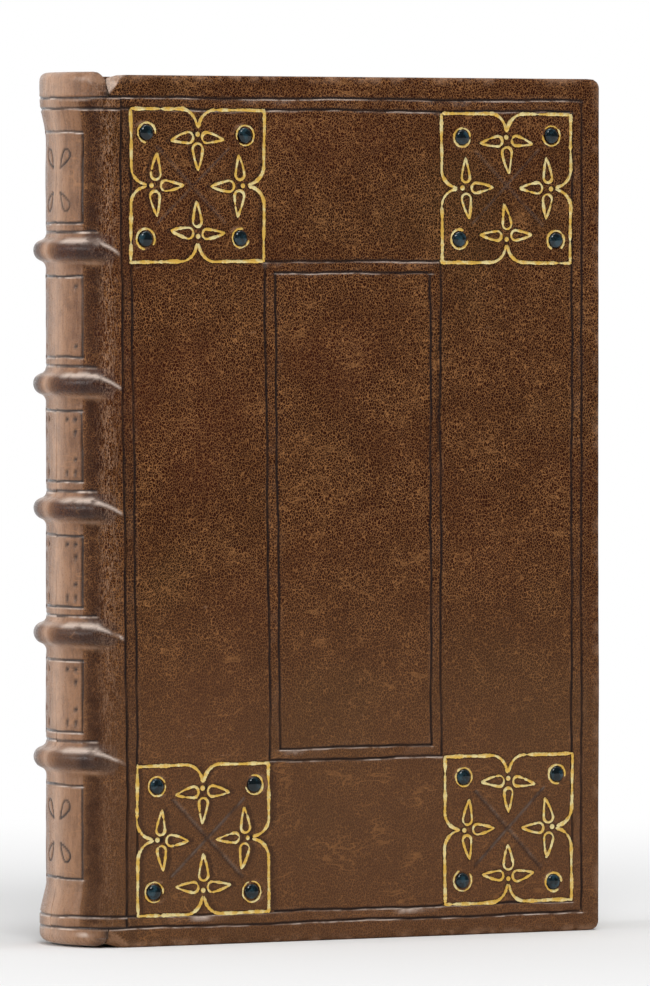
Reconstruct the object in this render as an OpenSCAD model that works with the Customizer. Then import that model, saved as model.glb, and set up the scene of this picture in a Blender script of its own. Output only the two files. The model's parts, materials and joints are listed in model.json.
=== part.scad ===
// Antique leather book of a small octavo size, standing on its tail.
// A rounded and backed text block sewn on five raised cords sits in a tight-backed full
// leather binding, with blind fillets, gilt corner ornaments and small set stones.
// X runs from the spine to the fore edge, Y from the front cover to the back cover, and
// Z from the tail to the head. Lengths are in millimetres.

/* [Book] */
// Height of the boards, from tail to head
book_h = 196; // [180:1:230]
// Width of the boards, from the joint to the fore edge
board_w = 128.4; // [118:0.2:150]
// Thickness over both covers
book_t = 28; // [26:0.5:40]
// How far the rounded spine stands out behind the joints
spine_round = 5.8; // [5:0.1:8]
// How far the boards overhang the leaves at head, tail and fore edge
square_w = 3; // [2.5:0.1:4]
// Depth of the hollow in the fore edge of the leaves
fore_hollow = 4; // [2:0.1:5]

/* [Covers] */
// Thickness of the bare boards
board_t = 2.4; // [2:0.1:3]
// Thickness of the leather on the covers
leather_t = 0.8; // [0.7:0.05:1]
// Width of the leather turned in round the inside of the boards
turn_in_w = 15; // [10:0.5:20]
// Thickness of the pared leather of the turn-ins
turn_in_t = 0.4; // [0.3:0.05:0.6]
// Thickness of the paper pasted down inside each cover
paste_t = 0.2; // [0.15:0.05:0.3]
// Border of leather left bare round the pasted paper
paste_border = 3; // [2:0.5:6]
// Radius of the rounded long edges of the covers
edge_r = 0.8; // [0.4:0.1:1.2]
// Radius of the two outer corners of each cover
corner_r = 1.5; // [1:0.1:3]
// Length of the bevelled corner beside the joint, along head and tail
back_corner_w = 4; // [2:0.5:5]
// Length of the bevelled corner beside the joint, along the joint
back_corner_h = 4.5; // [2:0.5:6]
// Depth of the bevelled corner beside the joint
back_corner_d = 2.6; // [1.5:0.1:3]

/* [Spine] */
// Thickness of the leather on the spine
spine_leather_t = 1; // [0.8:0.05:1.2]
// Thickness of the lining glued over the folds of the leaves
lining_t = 0.6; // [0.4:0.05:0.8]
// Number of raised bands
band_count = 5; // [3:1:5]
// Height of the tail panel, from the tail to the middle of the lowest band
tail_panel_h = 42.4; // [38:0.2:46]
// Height of the head panel, from the middle of the highest band to the head
head_panel_h = 39.2; // [36:0.2:44]
// Height of the title panel, between the middles of the two highest bands
title_panel_h = 30.1; // [28:0.1:32]
// How far a band stands out from the panels
band_rise = 2.9; // [2.5:0.1:3.2]
// Radius of a band's crest
band_crest_r = 2.6; // [2.5:0.1:3.2]
// Radius of the hollow between a band and the panel beside it
band_hollow_r = 2.4; // [2:0.1:4]
// Diameter of the sewing cords under the bands
cord_d = 3.7; // [3.5:0.1:4]
// Length of a band's pointed end on the cover
band_point_l = 5; // [3.5:0.5:6]
// Distance from the joint to the thickest place of a band's pointed end
band_point_peak = 2.3; // [2.1:0.1:3]
// Radius of a band's pointed end at its thickest
band_point_r = 0.7; // [0.4:0.1:0.7]

/* [Caps] */
// How far the cap at the head stands above the boards
head_cap_rise = 0.7; // [0.3:0.1:1.5]
// How far the cap at the tail clears what the boards stand on
tail_cap_lift = 0.4; // [0.2:0.1:1]
// How far both caps flare out from the panels
cap_flare = 1.5; // [1:0.1:2]
// Thickness of the folded leather of a cap
cap_wall = 2.8; // [2.4:0.1:3]
// Height of the flared part of a cap
cap_h = 8; // [6:0.5:9]
// Height over which a cap narrows to the panel
cap_taper_h = 9; // [6:0.5:10]
// Radius of the outer edge of the cap at the head
head_cap_edge_r = 1.8; // [1:0.1:2.2]
// Radius of the outer edge of the cap at the tail
tail_cap_edge_r = 2.4; // [1:0.1:2.4]
// Radius to which the cap at the head falls away beside each joint
head_shoulder_r = 4; // [2:0.2:5]
// Radius to which the cap at the tail falls away beside each joint
tail_shoulder_r = 2.2; // [1.5:0.1:4]
// Diameter of the wound endbands
endband_d = 2.6; // [2:0.1:2.8]

/* [Blind tooling] */
// Width of a blind line
blind_w = 0.5; // [0.3:0.05:0.8]
// Depth of a blind line
blind_d = 0.25; // [0.15:0.05:0.4]
// Distance between the two lines of a fillet
fillet_gap = 2.6; // [2:0.1:3]
// Distance from a band's middle to the blind line beside it
band_line_gap = 6; // [5.8:0.1:7]
// Distance from the head to the top line of the head panel
head_line_gap = 12.8; // [10:0.2:16]
// Distance from the tail to the bottom line of the tail panel
tail_line_gap = 15.4; // [12:0.2:20]
// Angle round the spine from its middle to the side lines of the panels
panel_angle = 26; // [20:1:34]

/* [Corner ornaments] */
// Side of a corner ornament
ornament_w = 34.2; // [32:0.2:40]
// Distance from the joint to the ornaments beside it
ornament_joint_gap = 6.5; // [6:0.1:9]
// Distance from the fore edge to the ornaments beside it
ornament_fore_gap = 7.6; // [5:0.1:9]
// Distance from the head to the ornaments below it
ornament_head_gap = 7.6; // [5:0.1:9]
// Distance from the tail to the ornaments above it
ornament_tail_gap = 7; // [5:0.1:9]
// Width of a gilt line
gilt_w = 0.6; // [0.4:0.05:0.7]
// Depth to which the gilt lines are pressed into the leather
gilt_d = 0.25; // [0.2:0.05:0.4]
// Thickness of the gilding
gilt_t = 0.15; // [0.1:0.01:0.18]
// Length of the straight gilt line on each side of a corner
ornament_straight = 11.8; // [10:0.1:12.5]
// Radius of the curve that turns in to the middle of each side
ornament_curve_r = 5.5; // [5.4:0.1:6]
// Radius of the gilt dot inside each side
dot_r = 0.75; // [0.5:0.05:0.9]
// Distance from a side of the ornament to its dot
dot_gap = 5.6; // [5.4:0.1:5.8]
// Radius of the round end of a leaf
leaf_r = 1.5; // [1.2:0.05:1.6]
// Distance from the middle of a leaf's round end to its tip
leaf_l = 4.4; // [3.5:0.1:4.6]
// Width of a leaf's outline
leaf_line_w = 0.45; // [0.3:0.05:0.5]
// Turn of the side leaves away from the side of the ornament
leaf_tilt = 8; // [0:1:12]

/* [Stones] */
// Diameter of a stone
stone_d = 3.5; // [3:0.1:4]
// Height of a stone's dome above its rim
stone_dome_h = 1.15; // [0.8:0.05:1.4]
// Depth to which a stone is let into the leather
stone_seat_d = 0.5; // [0.3:0.05:0.6]
// Clearance round a stone in its seat
stone_fit = 0.05; // [0.02:0.01:0.1]
// Distance from the sides of the ornament to a stone's middle
stone_gap = 4.8; // [4.4:0.1:5.2]
// Height of the leather rim round a stone
rim_h = 0.35; // [0.2:0.05:0.5]
// Width of the leather rim round a stone
rim_w = 1.1; // [0.9:0.05:1.2]
// Width of the gilt ring on the rim
ring_w = 0.55; // [0.3:0.05:0.6]

/* [Fits] */
// Gap between a cover and the back of the book at the joint
joint_gap = 0.3; // [0.3:0.05:0.4]
// Gap between the pasted paper and the first leaf
leaf_gap = 0.2; // [0.15:0.05:0.4]
// Gap between an endband and the cap over it
endband_gap = 0.1; // [0.05:0.05:0.3]

/* [Hidden] */
$fn = 96;
STONES = 16;

over = 1;
far = 60;
half_t = book_t / 2;
cover_t = leather_t + board_t + turn_in_t;
leaf_z0 = square_w;
leaf_z1 = book_h - square_w;
leaf_half_t = half_t - cover_t - paste_t - leaf_gap;
band_pitch = (book_h - tail_panel_h - title_panel_h - head_panel_h) / (band_count - 2);
stone_r = stone_d / 2;
stone_rise = rim_h + stone_dome_h;
mid_x = (board_w - spine_round - band_rise) / 2;
mid_y = (band_point_r - stone_rise) / 2;

function band_z(i) =
    i < band_count ? tail_panel_h + (i - 1) * band_pitch : book_h - head_panel_h;

// The panels of the spine lie on an arc through both joints, and everything else on the
// spine is turned about the middle of that arc
spine_r = (pow(half_t, 2) + pow(spine_round, 2)) / (2 * spine_round);
spine_x = spine_r - spine_round;
folds_r = spine_r - spine_leather_t - lining_t;
band_r = spine_r + band_rise;
cap_r = spine_r + cap_flare;
cord_arc_r = band_r - spine_leather_t - cord_d / 2;
endband_arc_r = cap_r - cap_wall - endband_gap - endband_d / 2;

// Corner ornaments: name, then the corner of the square nearest to the joint and the tail
ornament_u0 = ornament_joint_gap;
ornament_u1 = board_w - ornament_fore_gap - ornament_w;
ornament_v0 = ornament_tail_gap;
ornament_v1 = book_h - ornament_head_gap - ornament_w;
ORNAMENTS = [
    ["gilding_head_joint", ornament_u0, ornament_v1],
    ["gilding_head_fore", ornament_u1, ornament_v1],
    ["gilding_tail_joint", ornament_u0, ornament_v0],
    ["gilding_tail_fore", ornament_u1, ornament_v0],
];
STONE_CORNERS = [
    [stone_gap, stone_gap],
    [ornament_w - stone_gap, stone_gap],
    [stone_gap, ornament_w - stone_gap],
    [ornament_w - stone_gap, ornament_w - stone_gap],
];

// Moves the finished pieces so that the origin lies under the middle of the book
module placed() {
    translate([-mid_x, -mid_y, 0]) children();
}

// Puts a cover drawn with its outer face on Y = 0 and its depth along +Y on its side
module front_side() {
    translate([0, -half_t, 0]) children();
}

module back_side() {
    translate([0, half_t, 0]) mirror([0, 1, 0]) children();
}

// Gives a shape drawn on the face of a cover the thickness h, starting at the depth d
module plate(d, h) {
    translate([0, d + h, 0]) rotate([90, 0, 0]) linear_extrude(h) children();
}

// Runs a shape drawn in Y and Z along X
module along_x(x0, l) {
    translate([x0, 0, 0]) rotate([90, 0, 90]) linear_extrude(l) children();
}

module box_2d(x0, y0, x1, y1) {
    translate([x0, y0]) square([x1 - x0, y1 - y0]);
}

module rounded_box_2d(x0, y0, x1, y1, r) {
    box_2d(x0 + r, y0, x1 - r, y1);
    box_2d(x0, y0 + r, x1, y1 - r);
    for (x = [x0 + r, x1 - r])
        for (y = [y0 + r, y1 - r])
            translate([x, y]) circle(r);
}

module frame_2d(x0, y0, x1, y1, w) {
    difference() {
        box_2d(x0, y0, x1, y1);
        box_2d(x0 + w, y0 + w, x1 - w, y1 - w);
    }
}

// Turns a profile, drawn by its distance from the arc's middle, round the spine. It is
// trimmed at the joints, and at side_y on both sides, where it runs flat into the covers
module round_spine(side_y) {
    intersection() {
        translate([spine_x, 0, 0]) rotate_extrude() children();
        translate([-far, -side_y, -book_h]) cube([far, 2 * side_y, 3 * book_h]);
    }
}

module spine_cylinder(r, z0, z1) {
    round_spine(half_t) box_2d(0, z0, r, z1);
}

// Text block: rounded spine with backed shoulders, flat sides and hollow fore edge
module leaves_2d() {
    hollow_r = (pow(leaf_half_t, 2) + pow(fore_hollow, 2)) / (2 * fore_hollow);
    leaves_x1 = board_w - square_w;
    intersection() {
        translate([spine_x, 0]) circle(folds_r);
        box_2d(-far, -far, 0, far);
    }
    difference() {
        box_2d(-over, -leaf_half_t, leaves_x1, leaf_half_t);
        translate([leaves_x1 - fore_hollow + hollow_r, 0]) circle(hollow_r);
    }
}

module cord_ring(i) {
    translate([0, 0, band_z(i)])
        round_spine(half_t - spine_leather_t)
            translate([cord_arc_r, 0]) circle(d = cord_d);
}

module all_cord_rings() {
    for (i = [1 : band_count]) cord_ring(i);
}

module text_block() {
    color("ivory") placed() difference() {
        translate([0, 0, leaf_z0]) linear_extrude(leaf_z1 - leaf_z0) leaves_2d();
        all_cord_rings();
    }
}

module spine_lining() {
    color("tan") placed() difference() {
        spine_cylinder(folds_r + lining_t, leaf_z0, leaf_z1);
        translate([spine_x, 0, leaf_z0 - over]) cylinder(r = folds_r, h = book_h);
        all_cord_rings();
    }
}

module sewing_cord(i) {
    color("wheat") placed() cord_ring(i);
}

// Endband: a wound core with a flat foot on the leaves, ending short of the covers
module endband_on_tail() {
    core_r = endband_d / 2;
    foot = core_r * 0.75;
    end_angle = asin((leaf_half_t - leaf_gap) / (endband_arc_r + core_r));
    translate([spine_x, 0, 0])
        rotate([0, 0, 180 - end_angle])
            rotate_extrude(angle = 2 * end_angle)
                intersection() {
                    translate([endband_arc_r, -foot]) circle(core_r);
                    box_2d(endband_arc_r - core_r, -2 * endband_d, endband_arc_r + core_r, 0);
                }
}

module tail_endband() {
    color("firebrick") placed() translate([0, 0, leaf_z0]) endband_on_tail();
}

module head_endband() {
    color("firebrick") placed() translate([0, 0, leaf_z1]) mirror([0, 0, 1]) endband_on_tail();
}

// Section of a raised band, from the crest down to the hollows beside it
module band_profile() {
    crest = band_r - band_crest_r;
    hollow = spine_r + band_hollow_r;
    reach = sqrt(pow(band_crest_r + band_hollow_r, 2) - pow(hollow - crest, 2));
    meet_x = crest + (hollow - crest) * band_crest_r / (band_crest_r + band_hollow_r);
    translate([crest, 0]) circle(band_crest_r);
    difference() {
        box_2d(spine_r - spine_leather_t, -reach, meet_x, reach);
        for (side = [-1, 1])
            translate([hollow, side * reach]) circle(band_hollow_r);
    }
}

// Section of a cap drawn upwards from its end: rounded edge, flared wall, then taper
module cap_profile(edge_r) {
    inner = cap_r - cap_wall;
    box_2d(inner, edge_r, cap_r, cap_h);
    box_2d(inner, 0, cap_r - edge_r, cap_h);
    intersection() {
        translate([cap_r - edge_r, edge_r]) circle(edge_r);
        box_2d(inner, 0, cap_r + over, cap_h);
    }
    polygon([
        [inner, cap_h - over],
        [cap_r, cap_h - over],
        [cap_r, cap_h],
        [cap_r - cap_flare - spine_leather_t / 2, cap_h + cap_taper_h],
        [inner, cap_h + cap_taper_h],
    ]);
}

// The outline within which both caps fall away towards the joints
module cap_outline_2d() {
    top = book_h + head_cap_rise;
    side = half_t + blind_d;
    middle = book_h / 2;
    rounded_box_2d(-side, tail_cap_lift, side, middle + far / 2, tail_shoulder_r);
    rounded_box_2d(-side, middle - far / 2, side, top, head_shoulder_r);
}

module spine_hollow() {
    translate([spine_x, 0, leaf_z0])
        cylinder(r = spine_r - spine_leather_t, h = leaf_z1 - leaf_z0);
    translate([spine_x, 0, -over])
        cylinder(r = cap_r - cap_wall, h = book_h + head_cap_rise + 2 * over);
}

// Blind lines round the spine: beside each band, across both ends, and the two end panels
module spine_rings_2d() {
    bands = [for (i = [1 : band_count]) for (side = [-1, 1]) band_z(i) + side * band_line_gap];
    ends = [
        ornament_tail_gap - fillet_gap, ornament_tail_gap, tail_line_gap,
        book_h - ornament_head_gap + fillet_gap, book_h - ornament_head_gap, book_h - head_line_gap,
    ];
    for (z = concat(bands, ends))
        box_2d(spine_r - blind_d, z - blind_w / 2, spine_r + cap_flare + over, z + blind_w / 2);
}

// Blind lines down both sides of each panel
module panel_side_lines() {
    starts = concat([tail_line_gap], [for (i = [1 : band_count]) band_z(i) + band_line_gap]);
    ends = concat([for (i = [1 : band_count]) band_z(i) - band_line_gap], [book_h - head_line_gap]);
    for (i = [0 : band_count])
        for (side = [-1, 1])
            translate([spine_x, 0, starts[i]])
                rotate([0, 0, 180 + side * panel_angle])
                    translate([spine_r - blind_d, -blind_w / 2, 0])
                        cube([cap_flare + over, blind_w, ends[i] - starts[i]]);
}

module spine_leather() {
    color("sienna") placed() difference() {
        intersection() {
            union() {
                spine_cylinder(spine_r, tail_cap_lift + cap_h / 2, book_h + head_cap_rise - cap_h / 2);
                for (i = [1 : band_count])
                    translate([0, 0, band_z(i)]) round_spine(half_t) band_profile();
                translate([0, 0, tail_cap_lift]) round_spine(half_t) cap_profile(tail_cap_edge_r);
                translate([0, 0, book_h + head_cap_rise])
                    mirror([0, 0, 1])
                        round_spine(half_t) cap_profile(head_cap_edge_r);
            }
            along_x(-far, far) cap_outline_2d();
        }
        spine_hollow();
        all_cord_rings();
        translate([spine_x, 0, 0]) rotate_extrude() spine_rings_2d();
        panel_side_lines();
    }
}

// The flat cut that bevels the corner at the origin, parallel to the true corner's bevel
module corner_bevel(inset) {
    d = 1 / sqrt(1 / pow(back_corner_w, 2) + 1 / pow(back_corner_d, 2) + 1 / pow(back_corner_h, 2));
    turn = atan2(1 / back_corner_d, 1 / back_corner_w);
    tip = acos(d / back_corner_h);
    size = 2 * back_corner_h;
    rotate([0, tip, turn]) translate([-size, -size, d + inset - 2 * size]) cube(2 * size);
}

module both_corner_bevels(inset) {
    corner_bevel(inset);
    translate([0, 0, book_h]) mirror([0, 0, 1]) corner_bevel(inset);
}

// Everything inside the covering leather, from the joint outwards
module board_space(x0) {
    difference() {
        plate(leather_t, board_t) intersection() {
            rounded_box_2d(
                -far, leather_t, board_w - leather_t, book_h - leather_t, corner_r - leather_t / 2
            );
            box_2d(x0, 0, board_w, book_h);
        }
        both_corner_bevels(leather_t);
    }
}

module board() {
    board_space(joint_gap);
}

// The outside of a covered board, with all its long edges rounded
module covered_board() {
    intersection() {
        plate(0, cover_t) intersection() {
            rounded_box_2d(-far, 0, board_w, book_h, corner_r);
            box_2d(joint_gap, 0, board_w, book_h);
        }
        linear_extrude(book_h) rounded_box_2d(-far, 0, board_w, cover_t, edge_r);
        along_x(0, board_w) rounded_box_2d(0, 0, cover_t, book_h, edge_r);
    }
}

// The opening that the turn-ins leave on the inside of a board
module turn_in_window_2d(inset) {
    box_2d(-over, turn_in_w + inset, board_w - turn_in_w - inset, book_h - turn_in_w - inset);
}

// Slits where the turn-ins meet in a mitre at the two outer corners
module mitre_slits() {
    slit_w = 0.15;
    for (z = [0, 1])
        translate([board_w - turn_in_w / 2, 0, z * book_h])
            mirror([0, 0, z])
                translate([0, leather_t + board_t, turn_in_w / 2])
                    rotate([0, 45, 0])
                        translate([-turn_in_w, turn_in_t / 2, -slit_w / 2])
                            cube([2 * turn_in_w, turn_in_t, slit_w]);
}

// Pointed ends of the raised bands, where the cords run on into the boards
module band_points() {
    start_r = band_point_r * joint_gap / band_point_peak;
    start_l = band_point_peak - joint_gap;
    end_l = band_point_l - band_point_peak;
    for (i = [1 : band_count])
        translate([0, 0, band_z(i)]) rotate([0, 90, 0]) {
            translate([0, 0, joint_gap]) cylinder(r1 = start_r, r2 = band_point_r, h = start_l);
            translate([0, 0, band_point_peak]) cylinder(r1 = band_point_r, r2 = start_r, h = end_l);
        }
}

// Blind fillets of a cover: a double frame, drawn on to the joint, and a double panel
module cover_fillets_2d() {
    half_w = blind_w / 2;
    u0 = ornament_u0 - half_w;
    u1 = board_w - ornament_fore_gap + half_w;
    v0 = ornament_v0 - half_w;
    v1 = book_h - ornament_head_gap + half_w;
    p0 = ornament_u0 + ornament_w - half_w;
    p1 = ornament_u1 + half_w;
    q0 = ornament_v0 + ornament_w - half_w;
    q1 = ornament_v1 + half_w;
    frame_2d(u0, v0, u1, v1, blind_w);
    frame_2d(u0 - fillet_gap, v0 - fillet_gap, u1 + fillet_gap, v1 + fillet_gap, blind_w);
    frame_2d(p0, q0, p1, q1, blind_w);
    frame_2d(p0 + fillet_gap, q0 + fillet_gap, p1 - fillet_gap, q1 - fillet_gap, blind_w);
    for (v = [v0 - fillet_gap, v0, v1 - blind_w, v1 + fillet_gap - blind_w])
        box_2d(0, v, u0, v + blind_w);
}

// A drop with its round end at the origin and its tip on +X
module drop_2d(r, l) {
    circle(r);
    polygon([
        [r * r / l, r * sqrt(1 - pow(r / l, 2))],
        [r * r / l, -r * sqrt(1 - pow(r / l, 2))],
        [l, 0],
    ]);
}

module leaf_2d() {
    difference() {
        drop_2d(leaf_r, leaf_l);
        drop_2d(leaf_r - leaf_line_w, leaf_l * (1 - leaf_line_w / leaf_r));
    }
}

// One side of an ornament: lines that turn in to a cusp, a dot and three leaves
module ornament_side_2d() {
    half_w = ornament_w / 2;
    curve_x = half_w - ornament_straight;
    leaf_root = dot_gap + dot_r;
    leaf_step = leaf_r + dot_r + gilt_w / 2;
    for (side = [0, 1])
        mirror([side, 0]) {
            box_2d(curve_x, 0, half_w, gilt_w);
            intersection() {
                translate([curve_x, ornament_curve_r]) difference() {
                    circle(ornament_curve_r);
                    circle(ornament_curve_r - gilt_w);
                }
                box_2d(0, 0, curve_x, ornament_curve_r);
            }
            translate([leaf_step, leaf_root]) rotate(leaf_tilt) leaf_2d();
        }
    translate([0, dot_gap]) circle(dot_r);
    translate([0, leaf_root + leaf_step]) rotate(90) leaf_2d();
}

module ornament_2d() {
    for (turn = [0 : 90 : 270])
        translate([ornament_w / 2, ornament_w / 2])
            rotate(turn)
                translate([0, -ornament_w / 2]) ornament_side_2d();
}

module stone_rings_2d() {
    ring_r = stone_r + stone_fit;
    for (corner = STONE_CORNERS)
        translate(corner) difference() {
            circle(ring_r + ring_w);
            circle(ring_r);
        }
}

module gilding(i) {
    color("goldenrod") placed() front_side() {
        plate(gilt_d - gilt_t, gilt_t) translate([ORNAMENTS[i][1], ORNAMENTS[i][2]]) ornament_2d();
        plate(-rim_h - gilt_t, gilt_t) translate([ORNAMENTS[i][1], ORNAMENTS[i][2]]) stone_rings_2d();
    }
}

// Puts a shape with its axis on Z, pointing out of the cover, at the middle of a stone
module at_stone(ornament, corner) {
    place = [ORNAMENTS[ornament][1], ORNAMENTS[ornament][2]] + STONE_CORNERS[corner];
    translate([place[0], 0, place[1]]) rotate([90, 0, 0]) children();
}

module stone(ornament, corner) {
    dome_r = (pow(stone_r, 2) + pow(stone_dome_h, 2)) / (2 * stone_dome_h);
    color("darkslategray") placed() front_side() at_stone(ornament, corner) intersection() {
        translate([0, 0, -stone_seat_d]) cylinder(r = stone_r, h = stone_seat_d + stone_rise);
        union() {
            translate([0, 0, stone_rise - dome_r]) sphere(dome_r);
            translate([0, 0, -stone_seat_d]) cylinder(r = stone_r, h = stone_seat_d + rim_h);
        }
    }
}

module stone_rim() {
    foot_r = stone_r + rim_w;
    translate([0, 0, -stone_seat_d / 2]) cylinder(r = foot_r, h = stone_seat_d / 2);
    cylinder(r1 = foot_r, r2 = stone_r + stone_fit + ring_w, h = rim_h);
}

module stone_seat() {
    translate([0, 0, -stone_seat_d]) cylinder(r = stone_r + stone_fit, h = stone_seat_d + rim_h + over);
}

module plain_cover_leather() {
    difference() {
        union() {
            covered_board();
            intersection() {
                band_points();
                translate([0, -far, 0]) cube([board_w, far + leather_t / 2, book_h]);
            }
        }
        both_corner_bevels(0);
        board_space(-over);
        plate(leather_t + board_t, turn_in_t + over) turn_in_window_2d(0);
        mitre_slits();
        plate(-over, over + blind_d) cover_fillets_2d();
    }
}

module back_cover_leather() {
    color("saddlebrown") placed() back_side() plain_cover_leather();
}

module front_cover_leather() {
    color("saddlebrown") placed() front_side() difference() {
        union() {
            plain_cover_leather();
            for (i = [0 : 3]) for (j = [0 : 3]) at_stone(i, j) stone_rim();
        }
        for (i = [0 : 3]) {
            plate(-over, over + gilt_d) translate([ORNAMENTS[i][1], ORNAMENTS[i][2]]) ornament_2d();
            for (j = [0 : 3]) at_stone(i, j) stone_seat();
        }
    }
}

module front_board() {
    color("burlywood") placed() front_side() board();
}

module back_board() {
    color("burlywood") placed() back_side() board();
}

// Pasted paper: it lies on the bare board in the middle and steps up over the turn-ins
module pastedown() {
    inside = leather_t + board_t;
    difference() {
        union() {
            plate(inside + turn_in_t, paste_t)
                box_2d(joint_gap, paste_border, board_w - paste_border, book_h - paste_border);
            plate(inside, turn_in_t + paste_t) intersection() {
                turn_in_window_2d(0);
                box_2d(joint_gap, 0, board_w, book_h);
            }
        }
        plate(inside + paste_t, turn_in_t + over) turn_in_window_2d(paste_t);
    }
}

module front_pastedown() {
    color("linen") placed() front_side() pastedown();
}

module back_pastedown() {
    color("linen") placed() back_side() pastedown();
}

text_block();
spine_lining();
head_endband();
tail_endband();
spine_leather();
for (i = [1 : band_count])
    sewing_cord(i);
front_board();
back_board();
front_cover_leather();
back_cover_leather();
front_pastedown();
back_pastedown();
for (i = [0 : 3])
    gilding(i);
for (i = [0 : STONES - 1])
    stone(floor(i / 4), i % 4);
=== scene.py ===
import json
import math
from contextlib import contextmanager

import bpy
import numpy as np
from bpy.props import FloatProperty, FloatVectorProperty, IntProperty, PointerProperty
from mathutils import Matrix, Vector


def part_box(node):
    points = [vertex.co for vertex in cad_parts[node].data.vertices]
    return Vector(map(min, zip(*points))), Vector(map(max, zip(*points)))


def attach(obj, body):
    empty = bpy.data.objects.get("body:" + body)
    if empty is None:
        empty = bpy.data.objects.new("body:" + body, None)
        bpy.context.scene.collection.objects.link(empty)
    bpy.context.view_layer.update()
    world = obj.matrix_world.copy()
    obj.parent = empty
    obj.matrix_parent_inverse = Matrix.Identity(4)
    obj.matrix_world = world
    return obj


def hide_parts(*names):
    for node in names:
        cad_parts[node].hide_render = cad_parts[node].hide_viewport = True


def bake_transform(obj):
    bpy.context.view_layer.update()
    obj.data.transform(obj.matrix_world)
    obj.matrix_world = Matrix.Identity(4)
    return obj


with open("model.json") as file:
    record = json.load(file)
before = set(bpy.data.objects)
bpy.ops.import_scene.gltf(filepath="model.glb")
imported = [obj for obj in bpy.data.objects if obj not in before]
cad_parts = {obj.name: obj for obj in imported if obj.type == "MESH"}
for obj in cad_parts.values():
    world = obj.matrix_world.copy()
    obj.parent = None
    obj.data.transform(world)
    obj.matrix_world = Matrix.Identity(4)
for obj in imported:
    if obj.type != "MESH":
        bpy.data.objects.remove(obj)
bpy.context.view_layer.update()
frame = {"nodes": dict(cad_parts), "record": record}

bl_info = {
    "name": "Antique leather book",
    "version": (1, 0, 0),
    "blender": (4, 5, 0),
    "location": "3D View > Sidebar > Book",
    "description": "Dresses the bound book: tooled leather, gilding, stones, leaves and endbands",
    "category": "Object",
}

MM = 0.001

# Lengths below are in millimetres. Along a cover, u runs from the joint to the fore edge and
# v from the tail to the head. Round the spine, s runs from its middle to the joint, where
# it is 0, and on over the cover.
HINGES = {joint["name"]: joint["pos_m"] for joint in frame["record"]["behaviour"]["joints"]}
JOINT_X = HINGES["front_cover_hinge"][0] / MM
FRONT_Y = HINGES["front_cover_hinge"][1] / MM
BACK_Y = HINGES["back_cover_hinge"][1] / MM
MIDDLE_Y = (FRONT_Y + BACK_Y) / 2
HALF_T = (BACK_Y - FRONT_Y) / 2
BOARD_W = 128.4
BOOK_H = 196.0
COVER_T = 3.6
JOINT_GAP = 0.3
SPINE_ROUND = 5.8
SPINE_R = (HALF_T**2 + SPINE_ROUND**2) / (2 * SPINE_ROUND)
SPINE_CENTRE = SPINE_R - SPINE_ROUND
HALF_ANGLE = math.asin(HALF_T / SPINE_R)
SPINE_S0 = -HALF_ANGLE * SPINE_R

HEAD_CAP_Z = 196.7
TAIL_CAP_Z = 0.4
HEAD_CAP_R = 1.8
TAIL_CAP_R = 2.4
CAP_WALL = 2.8
CAP_FLARE = 1.5
BAND_Z = [42.4, 70.5, 98.6, 126.7, 156.8]
BAND_RISE = 2.9
BAND_CREST_R = 2.35
BAND_HOLLOW_R = 1.6
BAND_DROP = 1.3
# How faded the spine is, at these degrees from its middle: real fading, with painted sheen in how it falls
# off across the spine
FADE_SHEEN_ANGLES = [0, 10, 20, 25.5, 27.5, 31, 35]
FADE_SHEEN_SHARES = [0.92, 0.6, 0.46, 0.4, 0.16, 0.05, 0]
# How dark it is between there and the joint
DEEP_ANGLES = [25, 31, 38, 43, 46]
DEEP_SHARES = [0, 0.85, 0.85, 0.3, 0]

FRAME_U = [3.9, 6.5, 120.8, 123.4]
FRAME_V = [4.4, 7.0, 188.4, 191.0]
PANEL_U = [40.7, 43.3, 83.6, 86.2]
PANEL_V = [41.2, 43.8, 151.6, 154.2]
ORNAMENT_W = 34.2
ORNAMENTS = {
    "gilding_head_joint": (FRAME_U[1], PANEL_V[3]),
    "gilding_head_fore": (FRAME_U[2] - ORNAMENT_W, PANEL_V[3]),
    "gilding_tail_joint": (FRAME_U[1], FRAME_V[1]),
    "gilding_tail_fore": (FRAME_U[2] - ORNAMENT_W, FRAME_V[1]),
}
# How far each ornament was set off its place by hand, and then its four stones
HAND_SET = {
    "gilding_head_joint": ((-0.8, -0.05), (-1.9, 0.2), (-2.2, 0.4), (-1.7, -0.5), (-1.05, -1.05)),
    "gilding_head_fore": ((-0.3, -0.5), (-0.7, 0.2), (0.25, -0.1), (0.05, -1.2), (-0.9, -0.75)),
    "gilding_tail_joint": ((0.6, -0.2), (0.2, 0.5), (0.6, -0.1), (0.9, -0.3), (1.3, -0.5)),
    "gilding_tail_fore": ((0.2, 0.0), (0.2, 0.7), (-0.3, -0.3), (0.5, -0.2), (0.6, -0.1)),
}
# How much wider than their tools' layout the four outlines were struck, on each side
OUTLINE_GROW = (0.3, 0.3, 0.05, 0.05)
STONE_GAP = 4.8
STONE_R = 1.75
STONE_RISE = 1.5
STONE_DOME = 0.75
LEAN = 0.95
AMBIENT = 0.36
FRONT_SEED = 100
BACK_SEED = 300
# Marks the mesh carries for the materials: glint is painted highlight; rub, crease and fade hold wear and
# fading, with painted light in places; line also paints shade at the caps' joints and in the tail cap's
# folds
MARKS = ("line", "rub_and_sheen", "glint", "crease_and_sheen", "fade_and_sheen", "polish", "deep")
# Blind lines round the spine: one on each side of a band, and one near each cap
BAND_LINES = [z + side * 6.0 for z in BAND_Z for side in (-1, 1)]
CAP_LINES = [15.4, 183.2]
SPINE_SKIN_T = 0.45
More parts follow.
